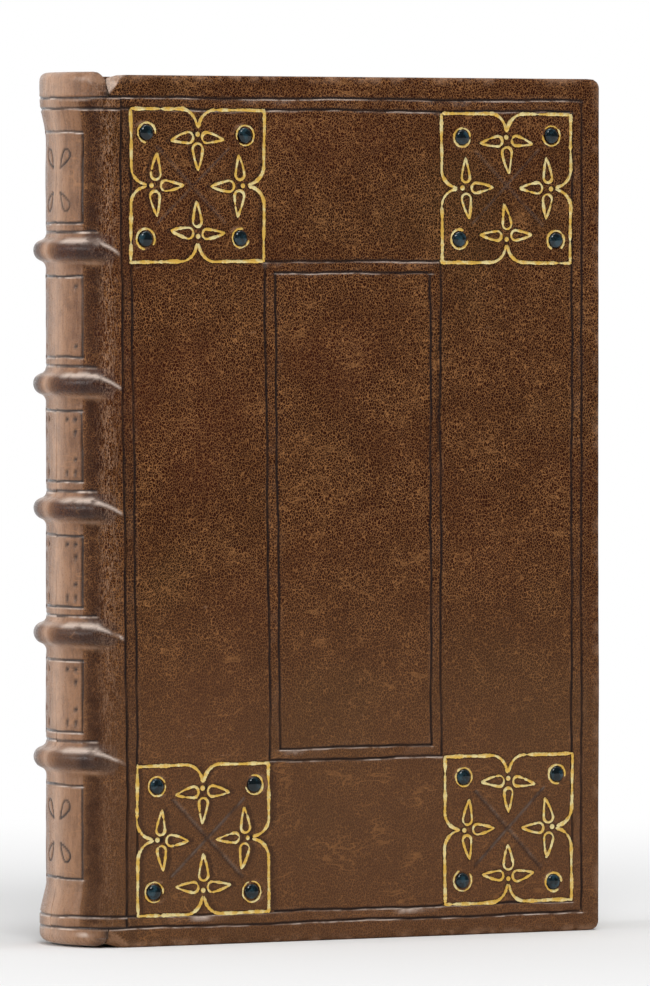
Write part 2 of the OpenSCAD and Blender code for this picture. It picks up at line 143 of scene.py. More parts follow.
# Blind tools on the spine, in degrees from its middle and heights
SIDE_LINE_ANGLE = 26
DROP_ANGLE = 11.2
DROP_PAIRS = ((20.4, 31.6), (166.8, 178.1))
DOT_PLACES = ((20.2, 0.4), (12.4, 0.4), (20.2, 3.4))
DOT_FROM_BAND = 7.6
# How far the leaves stay inside the covers, how hollow their fore edge is, and how round their folds
SQUARE = 3.0
LEAF_HOLLOW = 4.0
FOLDS_R = 17.9
# The room that an endband has
ENDBAND_R = 1.3
ENDBAND_HALF_W = 9.7
# The stage, in metres and degrees: the lamps' places, sizes and power in watts
LAMPS = {
    "lamp_side": ((-1.9, 0.1, 0.6), 0.9, 16),
    "lamp_key": ((-0.6, -1.4, 1.5), 0.7, 17),
    "lamp_top": ((0.1, -0.25, 1.9), 0.9, 12),
}
LAMP_TARGET = (0, 0, 0.1)
CAMERA_PLACE = (-1.1408, -2.04075, 0.158)
CAMERA_DOWN = 1.39
CAMERA_TURN = -29.28
CAMERA_LENS = 374.2


def tint(code):
    """The linear colour of a six-digit sRGB code."""
    values = [int(code[i : i + 2], 16) / 255 for i in (0, 2, 4)]
    return tuple(v / 12.92 if v <= 0.04045 else ((v + 0.055) / 1.055) ** 2.4 for v in values)


def colour_property(name, description, code):
    return FloatVectorProperty(
        name=name, description=description, subtype="COLOR", size=3, min=0, max=1, default=tint(code)
    )


def length_property(name, description, default, low, high):
    """A length, given here in millimetres."""
    return FloatProperty(
        name=name, description=description, default=default * MM, min=low * MM, max=high * MM, unit="LENGTH"
    )


def share_property(name, description, default):
    return FloatProperty(name=name, description=description, default=default, min=0, max=1, subtype="FACTOR")


class BookSizes(bpy.types.PropertyGroup):
    """Sizes of the blind and gilt lines, and how many leaves and threads show."""

    line_depth: length_property("Blind line depth", "Depth of the blind lines", 0.3, 0, 0.6)
    line_width: length_property("Blind line width", "Width of the blind lines", 0.72, 0.3, 1.5)
    hand_wobble: length_property("Hand wobble", "How far hand-drawn lines wander", 0.14, 0, 0.5)
    gilt_width: length_property("Gilt line width", "Width of the gilt lines", 0.84, 0.3, 1)
    leaf_line_width: length_property("Gilt leaf line width", "Width of a leaf's outline", 0.66, 0.2, 0.8)
    leaf_count: IntProperty(
        name="Leaves", description="Number of leaves that show in the edges", default=90, min=20, max=200
    )
    thread_turns: IntProperty(
        name="Endband turns", description="Turns of thread round each endband", default=34, min=10, max=60
    )


class BookFinish(bpy.types.PropertyGroup):
    """Colours, grain, wear and painted light."""

    leather_dark: colour_property("Leather, dark", "Colour of the pebbles of the grain", "301001")
    leather_mid: colour_property("Leather, middle", "Colour between the pebbles", "49250b")
    leather_light: colour_property("Leather, light", "Colour of the fine net of the grain", "9e6d42")
    leather_red: colour_property("Leather, red", "Redder parts of the skin", "441a0a")
    leather_green: colour_property("Leather, green", "Greenish brown parts of the skin", "36260e")
    leather_deep: colour_property("Leather, deep", "Dark leather between spine and joint", "260f05")
    # Faded spine leather; it also paints the sheen across the spine
    leather_faded_and_lit: colour_property("Leather, faded", "Leather of the spine that light has faded", "b98a66")
    leather_dull: colour_property("Leather, dull", "Duller leather towards the tail", "6a4a33")
    # Rubbed leather; it also paints light on the corner bevels, stone rims and wrinkles beside the joint
    leather_worn_and_lit: colour_property("Leather, worn", "Rubbed and faded leather", "a98368")
    # Burnt blind lines; the same colour also paints shade in the caps' joints and the tail cap's folds
    blind_line_and_shade: colour_property("Blind lines", "Colour of the burnt lines", "1d1718")
    # Painted highlight: the pale lower edges of lines, glints on bands and caps, and a sheen on the faded
    # spine
    painted_highlight: colour_property("Burnished edges", "Colour of the polished edges of lines", "dcc8ba")
    gold: colour_property("Gold", "Colour of the gold leaf", "efc058")
    gold_pale: colour_property("Gold, pale", "Colour of the rubbed gold", "fbe8a8")
    stone_dark: colour_property("Stone, dark", "Deep colour of the stones", "0b1519")
    stone_light: colour_property("Stone, light", "Lighter colour in the stones", "26404a")
    paper: colour_property("Paper", "Colour of the edges of the leaves", "d8c9a4")
    paper_dark: colour_property("Paper, dark", "Colour of the toned edges", "a98f63")
    endpaper: colour_property("Endpaper", "Colour of the pasted endpapers", "cdbb95")
    thread_red: colour_property("Thread, red", "First colour of the endbands", "7c2018")
    thread_pale: colour_property("Thread, pale", "Second colour of the endbands", "d9c59a")
    grain: share_property("Grain", "Strength of the leather's grain", 0.85)
    wear: share_property("Wear", "How rubbed the leather is", 0.6)


# Mesh helpers

def select_only(*objects):
    """Selects these objects alone, in object mode. The last one is the active one."""
    if bpy.context.object and bpy.context.object.mode != "OBJECT":
        bpy.ops.object.mode_set(mode="OBJECT")
    bpy.ops.object.select_all(action="DESELECT")
    for obj in objects:
        obj.select_set(True)
        bpy.context.view_layer.objects.active = obj


@contextmanager
def editing(obj, kind="VERT", action="SELECT"):
    """Edit mode on an object, with all or nothing of it selected at first."""
    select_only(obj)
    bpy.ops.object.mode_set(mode="EDIT")
    bpy.ops.mesh.select_mode(type=kind)
    bpy.ops.mesh.select_all(action=action)
    yield
    bpy.ops.object.mode_set(mode="OBJECT")


def places(obj):
    """The vertices of a mesh as an array, in millimetres."""
    co = np.zeros(len(obj.data.vertices) * 3)
    obj.data.vertices.foreach_get("co", co)
    return co.reshape(-1, 3) / MM


def set_places(obj, co):
    obj.data.vertices.foreach_set("co", (np.asarray(co) * MM).ravel())
    obj.data.update()


def set_values(obj, name, values):
    """A number for each vertex, which the materials read."""
    layer = obj.data.attributes.get(name) or obj.data.attributes.new(name, "FLOAT", "POINT")
    layer.data.foreach_set("value", np.asarray(values, np.float32))


def get_values(obj, name):
    values = np.zeros(len(obj.data.vertices), np.float32)
    obj.data.attributes[name].data.foreach_get("value", values)
    return values.astype(float)


def name_piece(obj, name):
    obj.name = name
    obj.data.name = name
    return obj


def grid_piece(name, s, t):
    """A grid primitive with its columns at the stations s and its rows at the stations t."""
    select_only()
    bpy.ops.mesh.primitive_grid_add(x_subdivisions=len(s) - 1, y_subdivisions=len(t) - 1, size=2)
    obj = name_piece(bpy.context.object, name)
    co = places(obj) * MM
    column = np.rint((co[:, 0] + 1) / 2 * (len(s) - 1)).astype(int)
    row = np.rint((co[:, 1] + 1) / 2 * (len(t) - 1)).astype(int)
    set_values(obj, "along", np.asarray(s)[column])
    set_values(obj, "up", np.asarray(t)[row])
    return obj


def delete_faces(obj, picked):
    """Deletes the faces whose entry in picked is true."""
    with editing(obj, "FACE", "DESELECT"):
        bpy.ops.object.mode_set(mode="OBJECT")
        obj.data.polygons.foreach_set("select", picked)
        bpy.ops.object.mode_set(mode="EDIT")
        bpy.ops.mesh.delete(type="FACE")


def remove_faces(obj, away):
    """Deletes the faces whose middle's along and up values the test away picks."""
    corners = np.zeros(len(obj.data.loops), int)
    obj.data.loops.foreach_get("vertex_index", corners)
    corners = corners.reshape(-1, 4)
    middles = [get_values(obj, name)[corners].mean(1) for name in ("along", "up")]
    delete_faces(obj, away(*middles))


def merge_doubles(obj, distance=0.002):
    with editing(obj):
        bpy.ops.mesh.remove_doubles(threshold=distance * MM)


def flip(obj):
    with editing(obj):
        bpy.ops.mesh.flip_normals()


def face_outwards(obj):
    with editing(obj):
        bpy.ops.mesh.normals_make_consistent(inside=False)


def close_rims(obj):
    """Puts one face in each opening."""
    with editing(obj, "EDGE", "DESELECT"):
        bpy.ops.mesh.select_non_manifold(extend=False)
        bpy.ops.mesh.edge_face_add()


def thicken(obj, thickness):
    """Gives a sheet a wall behind its faces, and returns how many vertices lie outside."""
    outside = len(obj.data.vertices)
    select_only(obj)
    wall = obj.modifiers.new("Wall", "SOLIDIFY")
    wall.thickness = thickness * MM
    wall.offset = -1
    bpy.ops.object.modifier_apply(modifier=wall.name)
    return outside


def smooth(obj, angle=35):
    select_only(obj)
    bpy.ops.object.shade_smooth_by_angle(angle=math.radians(angle))


def finish_piece(obj, surface):
    """Gives a piece its material and its slot, and stops where nothing was made."""
    if not obj.data.polygons:
        raise RuntimeError(f"{obj.name} has no faces")
    obj.data.materials.clear()
    obj.data.materials.append(surface)
    return obj


def stations(start, end, coarse, spans):
    """Places from start to end, coarse apart, and closer inside the spans (from, to, step)."""
    found = [start]
    while found[-1] < end - 1e-6:
        here = found[-1]
        step = coarse
        for low, high, fine in spans:
            if low - 1e-6 <= here < high - 1e-6:
                step = min(step, fine)
            elif here < low:
                step = min(step, max(low - here, 1e-3))
        found.append(min(here + step, end))
    kept = [found[0]]
    for place in found[1:-1]:
        if place - kept[-1] > 0.08:
            kept.append(place)
    kept.append(end)
    return np.array(kept)


def ease(x, low, high):
    """0 below low, 1 above high, and a smooth step between."""
    x = np.clip((x - low) / (high - low), 0, 1)
    return x * x * (3 - 2 * x)


def fall(x, low, high):
    """1 below low, 0 above high, and a smooth step between."""
    return 1 - ease(x, low, high)


def bell(x, width):
    """1 at 0, falling away smoothly on both sides."""
    return np.exp(-((x / width) ** 2))


def lengths(*sides):
    """The way along a path to each of its points, from their coordinates."""
    return np.concatenate([[0], np.cumsum(np.sqrt(sum(np.diff(side) ** 2 for side in sides)))])


def ring(path):
    """A path that comes back to its first point."""
    return np.concatenate([path, path[:1]])


def wander(x, seed, size):
    """The slow wobble of a line drawn by hand."""
    rng = np.random.default_rng(seed)
    total = 0
    for length in (53.0, 19.0, 7.7):
        total = total + math.sqrt(length / 53) * rng.uniform(0.5, 1) * np.sin(
            2 * math.pi * (x / length + rng.uniform())
        )
    return size * total


def uneven(u, v, seed, length, count=7):
    """Smooth, seeded unevenness over a surface, about -1 to 1."""
    rng = np.random.default_rng(seed)
    total = 0
    for _ in range(count):
        angle = rng.uniform(0, math.pi)
        scale = length * rng.uniform(0.6, 1.7)
        total = total + np.sin(
            2 * math.pi * ((u * math.cos(angle) + v * math.sin(angle)) / scale + rng.uniform())
        )
    return total / math.sqrt(count)


# The tools of the finisher

class Tooling:
    """Adds pressed lines and tools to a surface: height is in millimetres, outwards. Its marks also hold
    wear, fading and painted light.
    """

    def __init__(self, u, v, sizes):
        self.u = u
        self.v = v
        self.height = np.zeros(len(u))
        self.marks = {name: np.zeros(len(u)) for name in MARKS}
        self.depth = sizes.line_depth / MM
        self.half_w = sizes.line_width / MM / 2
        self.wobble = sizes.hand_wobble / MM

    def mark(self, name, share, index=slice(None)):
        """Raises a mark to share where it is weaker."""
        values = self.marks[name]
        values[index] = np.maximum(values[index], share)

    def press(self, distance, half_w, depth):
        """Presses a groove, with a low rim pushed up beside it."""
        inside = np.clip(1 - (distance / half_w) ** 2, 0, 1)
        rim = bell(distance - 1.5 * half_w, 0.5 * half_w)
        self.height += -depth * inside**0.7 + 0.22 * depth * rim
        self.mark("line", inside**0.5)
        self.mark("rub_and_sheen", 0.2 * rim)

    def rule(self, along, across, start, end, seed, depth, lean):
        """Presses a line by hand, and returns how far a point lies beside and beyond it."""
        drift = wander(along, seed, self.wobble) + lean * (along - start) / (end - start)
        beyond = np.maximum(np.maximum(start - along, along - end), 0)
        beside = across - drift
        pressure = 0.8 + 0.25 * wander(along, seed + 50, 1.0)
        self.press(np.hypot(beside, beyond), self.half_w, depth * self.depth * pressure)
        return beside, beyond

    def line_across(self, v0, start, end, seed, depth=1.0):
        """A line across the cover, with a painted highlight on its lower edge."""
        above, beyond = self.rule(self.u, self.v - v0, start, end, seed, depth, 0.0)
        edge = bell(above + 0.95 * self.half_w, 0.3 * self.half_w) * bell(beyond, 0.5)
        self.mark("glint", edge * np.clip(0.65 + 0.6 * wander(self.u, seed + 70, 1.0), 0.1, 1))

    def line_up(self, u0, start, end, seed, depth=1.0, lean=0.0):
        """A line from the tail upwards, whose head end leans out by lean."""
        self.rule(self.v, self.u - u0, start, end, seed, depth, lean)

    def along_path(self, path, half_w, depth, mark=1.0):
        """Presses in a path, given as points (u, v), where it passes near."""
        low = path.min(0) - 3 * half_w
        high = path.max(0) + 3 * half_w
        near = (self.u > low[0]) & (self.u < high[0]) & (self.v > low[1]) & (self.v < high[1])
        index = np.flatnonzero(near)
        points = np.stack([self.u[index], self.v[index]], 1)
        distance = np.full(len(index), 1e9)
        for a, b in zip(path[:-1], path[1:]):
            way = b - a
            along = np.clip((points - a) @ way / max(way @ way, 1e-9), 0, 1)
            distance = np.minimum(distance, np.linalg.norm(points - a - along[:, None] * way, axis=1))
        inside = np.clip(1 - (distance / half_w) ** 2, 0, 1)
        self.height[index] -= depth * inside**0.7
        self.mark("line", mark * inside**0.5, index)

    def glint_line(self, a, b, share):
        """A fine painted highlight from a to b, beside a pressed line."""
        length = np.linalg.norm(b - a)
        way = (b - a) / length
        along = (self.u - a[0]) * way[0] + (self.v - a[1]) * way[1]
        off = (self.v - a[1]) * way[0] - (self.u - a[0]) * way[1]
        self.mark("glint", share * ((along > 0) & (along < length)) * bell(off, 0.25))

    def dot(self, u0, v0, r, depth):
        self.press(np.hypot(self.u - u0, self.v - v0), r, depth)


def drop_path(r, reach, bend=0.0):
    """The outline of a drop, with its round end at the origin and its tip on +X at reach."""
    open_angle = math.acos(r / reach)
    angles = np.linspace(open_angle, 2 * math.pi - open_angle, 26)
    round_end = np.stack([r * np.cos(angles), r * np.sin(angles)], 1)
    tip = np.array([[reach, 0.0]])
    side = np.linspace(0.2, 0.8, 5)[:, None]
    belly = 0.12 * r * np.sin(math.pi * side)
    last = round_end[-1] * (1 - side) + tip * side + belly * [[0, -1]]
    first = tip * (1 - side) + round_end[0] * side + belly * [[0, 1]]
    path = np.concatenate([round_end, last, tip, first])
    path[:, 1] += bend * (np.clip(path[:, 0], 0, None) / reach) ** 2
    return path


def turned(path, degrees):
    a = math.radians(degrees)
    return path @ np.array([[math.cos(a), math.sin(a)], [-math.sin(a), math.cos(a)]])


def ornament_paths(seed):
    """The gilt lines of a corner ornament: (points, closed, kind), hand set and never quite alike."""
    rng = np.random.default_rng(seed)
    half = ORNAMENT_W / 2
    found = []
    for turn in range(4):
        for side in (-1, 1):
            shift = rng.uniform(-0.12, 0.12, 2)
            straight = np.linspace(half - rng.uniform(0.0, 0.35), 4.45, 28)
            line = np.stack([straight, np.full(28, 0.3)], 1)
            angles = np.radians(np.linspace(5, rng.uniform(70, 84), 22))
            curve = np.stack([4.45 - 4.2 * np.sin(angles), 4.5 - 4.2 * np.cos(angles)], 1)
            towards_dot = np.linspace(0.2, 1, 4)[:, None] * ([0.12, 4.35] - curve[-1])
            path = np.concatenate([line, curve, curve[-1] + towards_dot])
            path[:, 1] += wander(path[:, 0], int(rng.integers(1e6)), 0.1)
            path[:28, 0] *= (half + OUTLINE_GROW[seed]) / half
            path = path * [side, 1] + shift - [0, OUTLINE_GROW[seed]]
            found.append((path, False, "line", turn))
        for side in (-1, 1):
            leaf = drop_path(rng.uniform(1.08, 1.26), rng.uniform(4.2, 4.7), bend=rng.uniform(-0.1, 0.4))
            leaf = turned(leaf, rng.uniform(-3, 10))
            leaf = leaf + [2.4 + rng.uniform(-0.1, 0.15), 6.3 + rng.uniform(-0.15, 0.15)]
            found.append((leaf * [side, 1], True, "leaf", turn))
        leaf = drop_path(rng.uniform(1.1, 1.28), rng.uniform(4.3, 4.8), bend=rng.uniform(-0.5, 0.5))
        leaf = turned(leaf, 90 + rng.uniform(-5, 5)) + [rng.uniform(-0.15, 0.15), 8.95]
        found.append((leaf, True, "leaf", turn))
        dot = np.array([[rng.uniform(-0.15, 0.15), 5.5 + rng.uniform(-0.15, 0.15)]])
        found.append((dot, False, "dot", turn))
    return [
        (turned(path - [0, half], 90 * turn) + half, closed, kind) for path, closed, kind, turn in found
    ]


def leaning(u, v):
    """How far the upright lines lean towards the fore edge, most beside the joint."""
    lean = LEAN * np.sin(math.pi * (0.53 * BOOK_H - v) / (1.02 * BOOK_H)) + 0.1
    from_joint = np.clip((u - JOINT_GAP) / (FRAME_U[0] - JOINT_GAP), 0, 1)
    return lean * from_joint * fall(u, PANEL_U[1], PANEL_U[3])


def ornament_corner(name):
    """The corner of an ornament nearest to the joint and the tail, as set by hand."""
    return np.array(ORNAMENTS[name]) + HAND_SET[name][0]


def stone_places(name):
    """The middles of an ornament's four stones, low u before high u and low v before high v."""
    low = STONE_GAP
    high = ORNAMENT_W - STONE_GAP
    exact = np.array([(u, v) for v in (low, high) for u in (low, high)])
    return exact + ORNAMENTS[name] + HAND_SET[name][1:]


# The skins of the covers

WRAP_R = 1.0
WRAP_INSET = 1.2
INNER_R = 0.8
TURN_IN = 15.0
TURN_IN_T = 0.4


def wrap_profile():
    """How the leather turns over an edge of the board: length, way outwards, depth."""
    quarter = np.radians(np.linspace(0, 90, 6))
    inner = np.radians([30, 60, 90])
    flat = COVER_T - INNER_R
    out = [WRAP_INSET * math.sin(a) for a in quarter] + [WRAP_INSET, WRAP_INSET]
    out += [WRAP_INSET - INNER_R * (1 - math.cos(a)) for a in inner] + [-2.0, -8.0, WRAP_INSET - TURN_IN]
    depth = [WRAP_R * (1 - math.cos(a)) for a in quarter] + [1.9, flat]
    depth += [flat + INNER_R * math.sin(a) for a in inner] + [COVER_T, COVER_T, COVER_T]
    return lengths(out, depth), np.array(out), np.array(depth)


class CoverShape:
    """Puts a point of a cover's skin, given along and up, in its place."""

    def __init__(self, face_y, inwards):
        self.face_y = face_y
        self.inwards = inwards
        self.length, self.out, self.depth = wrap_profile()
        self.u_end = BOARD_W - WRAP_INSET
        self.v_start = WRAP_INSET
        self.v_end = BOOK_H - WRAP_INSET

    def turned_over(self):
        """How far each row of the turned-over edges lies from where they start."""
        return self.length[1:]

    def spread(self, along, up):
        """(u, v, depth) with the turned-over edges mitred at the corners."""
        over_u = np.clip(along - self.u_end, 0, None)
        over_v = np.clip(np.maximum(up - self.v_end, self.v_start - up), 0, None)
        out_u = np.interp(over_u, self.length, self.out)
        out_v = np.interp(over_v, self.length, self.out)
        depth = np.interp(np.maximum(over_u, over_v), self.length, self.depth)
        middle = (self.v_start + self.v_end) / 2
        half = (self.v_end - self.v_start) / 2
        u = np.minimum(along, self.u_end)
        v = np.clip(up, self.v_start, self.v_end)
        u0 = JOINT_GAP
        u = u0 + (u - u0) * (self.u_end + out_v - u0) / (self.u_end - u0) + out_u
        v = middle + (v - middle) * (half + out_u) / half
        v = v + np.where(up > self.v_end, out_v, np.where(up < self.v_start, -out_v, 0))
        return u, v, depth

    def place(self, along, up, height):
        u, v, depth = self.spread(along, up)
        u = u + leaning(u, v)
        corner_r = 2.2
        for low, sign in ((corner_r, -1), (BOOK_H - corner_r, 1)):
            du = u - (BOARD_W - corner_r)
            dv = (v - low) * sign
            inside = (du > 0) & (dv > 0)
            scale = np.maximum(du, dv) / np.maximum(np.hypot(du, dv), 1e-9)
            u = np.where(inside, BOARD_W - corner_r + du * scale, u)
            v = np.where(inside, low + sign * dv * scale, v)
        from_end = np.minimum(v, BOOK_H - v)
        end_fall = 1.2 * np.clip(1 - u / 4.4, 0, 1) ** 1.4 * fall(from_end, 0, 4.0)
        v = v + np.where(v < BOOK_H / 2, end_fall, -end_fall)
        bevel = np.clip(2.7 * corner_share(u, v), 0, None)
        depth = bevel + depth * (COVER_T - bevel) / COVER_T - height
        edge = uneven(u, v, 11, 60) * 0.12 * ease(np.maximum(u - BOARD_W + 2, 2 - from_end), 0, 2)
        y = self.face_y + self.inwards * depth
        return np.stack([JOINT_X + u - edge * 0.5, y, v], 1)


def corner_share(u, v):
    """1 in the corners of a cover at the joint, and 0 where their bevels end."""
    return 1 - u / 5.2 - np.minimum(v, BOOK_H - v) / 4.7


def near_lines(lines, half=0.6, step=0.17):
    return [(line - half, line + half, step) for line in lines]


def snap(found, lines):
    """Moves the nearest of the stations onto each line."""
    for line in lines:
        found[np.argmin(abs(found - line))] = line


def merge_flat_inside(obj, outside, y):
    """Puts one face in the place of the many small ones of the flat inner side."""
    level = np.abs(places(obj)[:, 1] - y) < 0.002
    level[:outside] = False
    delete_faces(obj, [bool(level[list(face.vertices)].all()) for face in obj.data.polygons])
    close_rims(obj)


def tool_skin(obj, shape, tooling, outside):
    """Gives the outer side its tooled height, and the leather's material the finisher's marks."""
    co = places(obj)
    tooled = shape.place(get_values(obj, "along"), get_values(obj, "up"), tooling.height)
    co[:outside] = tooled[:outside]
    set_places(obj, co)
    for name, values in tooling.marks.items():
        set_values(obj, name, values)
    smooth(obj, 50)
    return obj


def undulation(u, v, seed):
    """The slow rise and fall of leather pasted over board."""
    return 0.06 * uneven(u, v, seed + 1, 34) + 0.02 * uneven(u, v, seed + 2, 9)


def cover_skin(name, shape, sizes, ornamented):
    """The skin of one cover, from the blind line beside the joint round to its turn-ins."""
    fine = 0.45 if ornamented else 1.3
    coarse = 1.6
    u_spans = near_lines(FRAME_U + PANEL_U) + [(JOINT_GAP, FRAME_U[0], 0.5)]
    v_spans = near_lines(FRAME_V + PANEL_V) + [(0, FRAME_V[0], 0.5), (FRAME_V[3], BOOK_H, 0.5)]
    u_spans += [(low, low + ORNAMENT_W, fine) for low in (FRAME_U[1], PANEL_U[3])]
    v_spans += [(low, low + ORNAMENT_W, fine) for low in (FRAME_V[1], PANEL_V[3])]
    along = stations(JOINT_GAP, shape.u_end, coarse, u_spans)
    snap(along, FRAME_U[:1])
    up = stations(shape.v_start, shape.v_end, coarse, v_spans)
    snap(up, (FRAME_V[0], FRAME_V[3]))
    over = shape.turned_over()
    along = np.concatenate([along, shape.u_end + over])
    up = np.concatenate([(shape.v_start - over)[::-1], up, shape.v_end + over])
    obj = grid_piece(name, along, up)

    def away(u, v):
        beside_joint = (u < FRAME_U[0]) & (v > FRAME_V[0]) & (v < FRAME_V[3])
        corner = (u > shape.u_end) & ((v < shape.v_start) | (v > shape.v_end))
        return beside_joint | corner

    remove_faces(obj, away)
    set_places(obj, shape.place(get_values(obj, "along"), get_values(obj, "up"), 0))
    merge_doubles(obj)
    if shape.inwards < 0:
        flip(obj)
    outside = thicken(obj, TURN_IN_T)
    merge_flat_inside(obj, outside, shape.face_y + shape.inwards * TURN_IN_T)
    tooling = cover_tooling(get_values(obj, "along"), get_values(obj, "up"), sizes, ornamented)
    return tool_skin(obj, shape, tooling, outside)


def ends(lines, i):
    """Where line i of a double frame stops: outer lines at the outer ones, inner at the inner."""
    return (lines[0], lines[3]) if i in (0, 3) else (lines[1], lines[2])


def cover_tooling(u, v, sizes, ornamented):
    tooling = Tooling(u, v, sizes)
    seed = FRONT_SEED if ornamented else BACK_SEED
    tooling.height += undulation(u, v, seed)
    for i in range(4):
        depth = 1.0 if i in (0, 3) else 0.8
        strong, lean = ((1.25, 0.2), (1.0, 0.14), (0.8, 0.0), (0.8, 0.0))[i]
        tooling.line_up(FRAME_U[i], *ends(FRAME_V, i), seed + 10 + i, strong, lean)
        tooling.line_across(FRAME_V[i], 0, ends(FRAME_U, i)[1], seed + 20 + i, 0.9)
        tooling.line_up(PANEL_U[i], *ends(PANEL_V, i), seed + 30 + i, depth, (0, 0, -0.3, -0.3)[i])
        tooling.line_across(PANEL_V[i], *ends(PANEL_U, i), seed + 40 + i, depth)
    if ornamented:
        for number, name in enumerate(ORNAMENTS):
            press_ornament(tooling, number, name)
    tooling.mark("line", 0.2 * ease(u, FRAME_U[0], FRAME_U[0] + 0.4) * fall(u, FRAME_U[1] - 0.4, FRAME_U[1]))
    edge = np.minimum(np.minimum(v, BOOK_H - v), BOARD_W - u)
    corner = ease(corner_share(u, v), 0.0, 0.08)
    tooling.mark("rub_and_sheen", 0.75 * fall(edge, 0.3, 2.2))
    # Paler bevelled corners beside the joint: rubbed leather, partly painted light on the facet, with a
    # painted highlight at the head only
    tooling.mark("rub_and_sheen", 0.7 * corner)
    tooling.mark("fade_and_sheen", 0.3 * corner)
    tooling.mark("glint", 0.6 * corner * (v > BOOK_H / 2))
    return tooling


def press_ornament(tooling, number, name):
    """The groove under the gold, the crossed guide lines with a painted highlight beside each, and a seat
    for each stone, its rim pale with wear and painted highlight.
    """
    corner = ornament_corner(name)
    for path, closed, kind in ornament_paths(number):
        if kind == "dot":
            tooling.dot(*(path[0] + corner), 0.9, 0.12)
        else:
            tooling.along_path((ring(path) if closed else path) + corner, 0.62, 0.16, 0.55)
    middles = stone_places(name)
    strength = 0.4 if number < 2 else 0.75
    for a, b in ((middles[0], middles[3]), (middles[1], middles[2])):
        cross = np.linspace(a, b, 16)[2:-2]
        tooling.along_path(cross, 0.2 + 0.3 * strength, 0.25 * strength, strength)
        tooling.glint_line(cross[0] + 0.25, cross[-1] + 0.25, 0.2 * strength)
    for middle in middles:
        distance = np.hypot(tooling.u - middle[0], tooling.v - middle[1])
        tooling.height += 0.3 * bell(distance - 2.15, 0.4) - 0.3 * fall(distance, 1.3, 1.8)
        # Pale rim round each seat: rubbed leather, partly a painted highlight
        tooling.mark("rub_and_sheen", 0.8 * bell(distance - 2.25, 0.3))


# The skin of the spine

def cap_profile(edge_r, top):
    """How the leather turns over a cap: length, way inwards, way below the end."""
    quarter = np.radians(np.linspace(0, 90, 8))
    inner = np.radians([30, 60, 90])
    inner_r = min(0.7, CAP_WALL - edge_r - 0.02)
    inwards = [edge_r * (1 - math.cos(a)) for a in quarter]
    inwards += [CAP_WALL - inner_r * (1 - math.sin(a)) for a in inner] + [CAP_WALL, CAP_WALL]
    below = [edge_r * (1 - math.sin(a)) for a in quarter]
    below += [inner_r * (1 - math.cos(a)) for a in inner] + [2.4, top]
    return lengths(inwards, below), np.array(inwards), np.array(below)


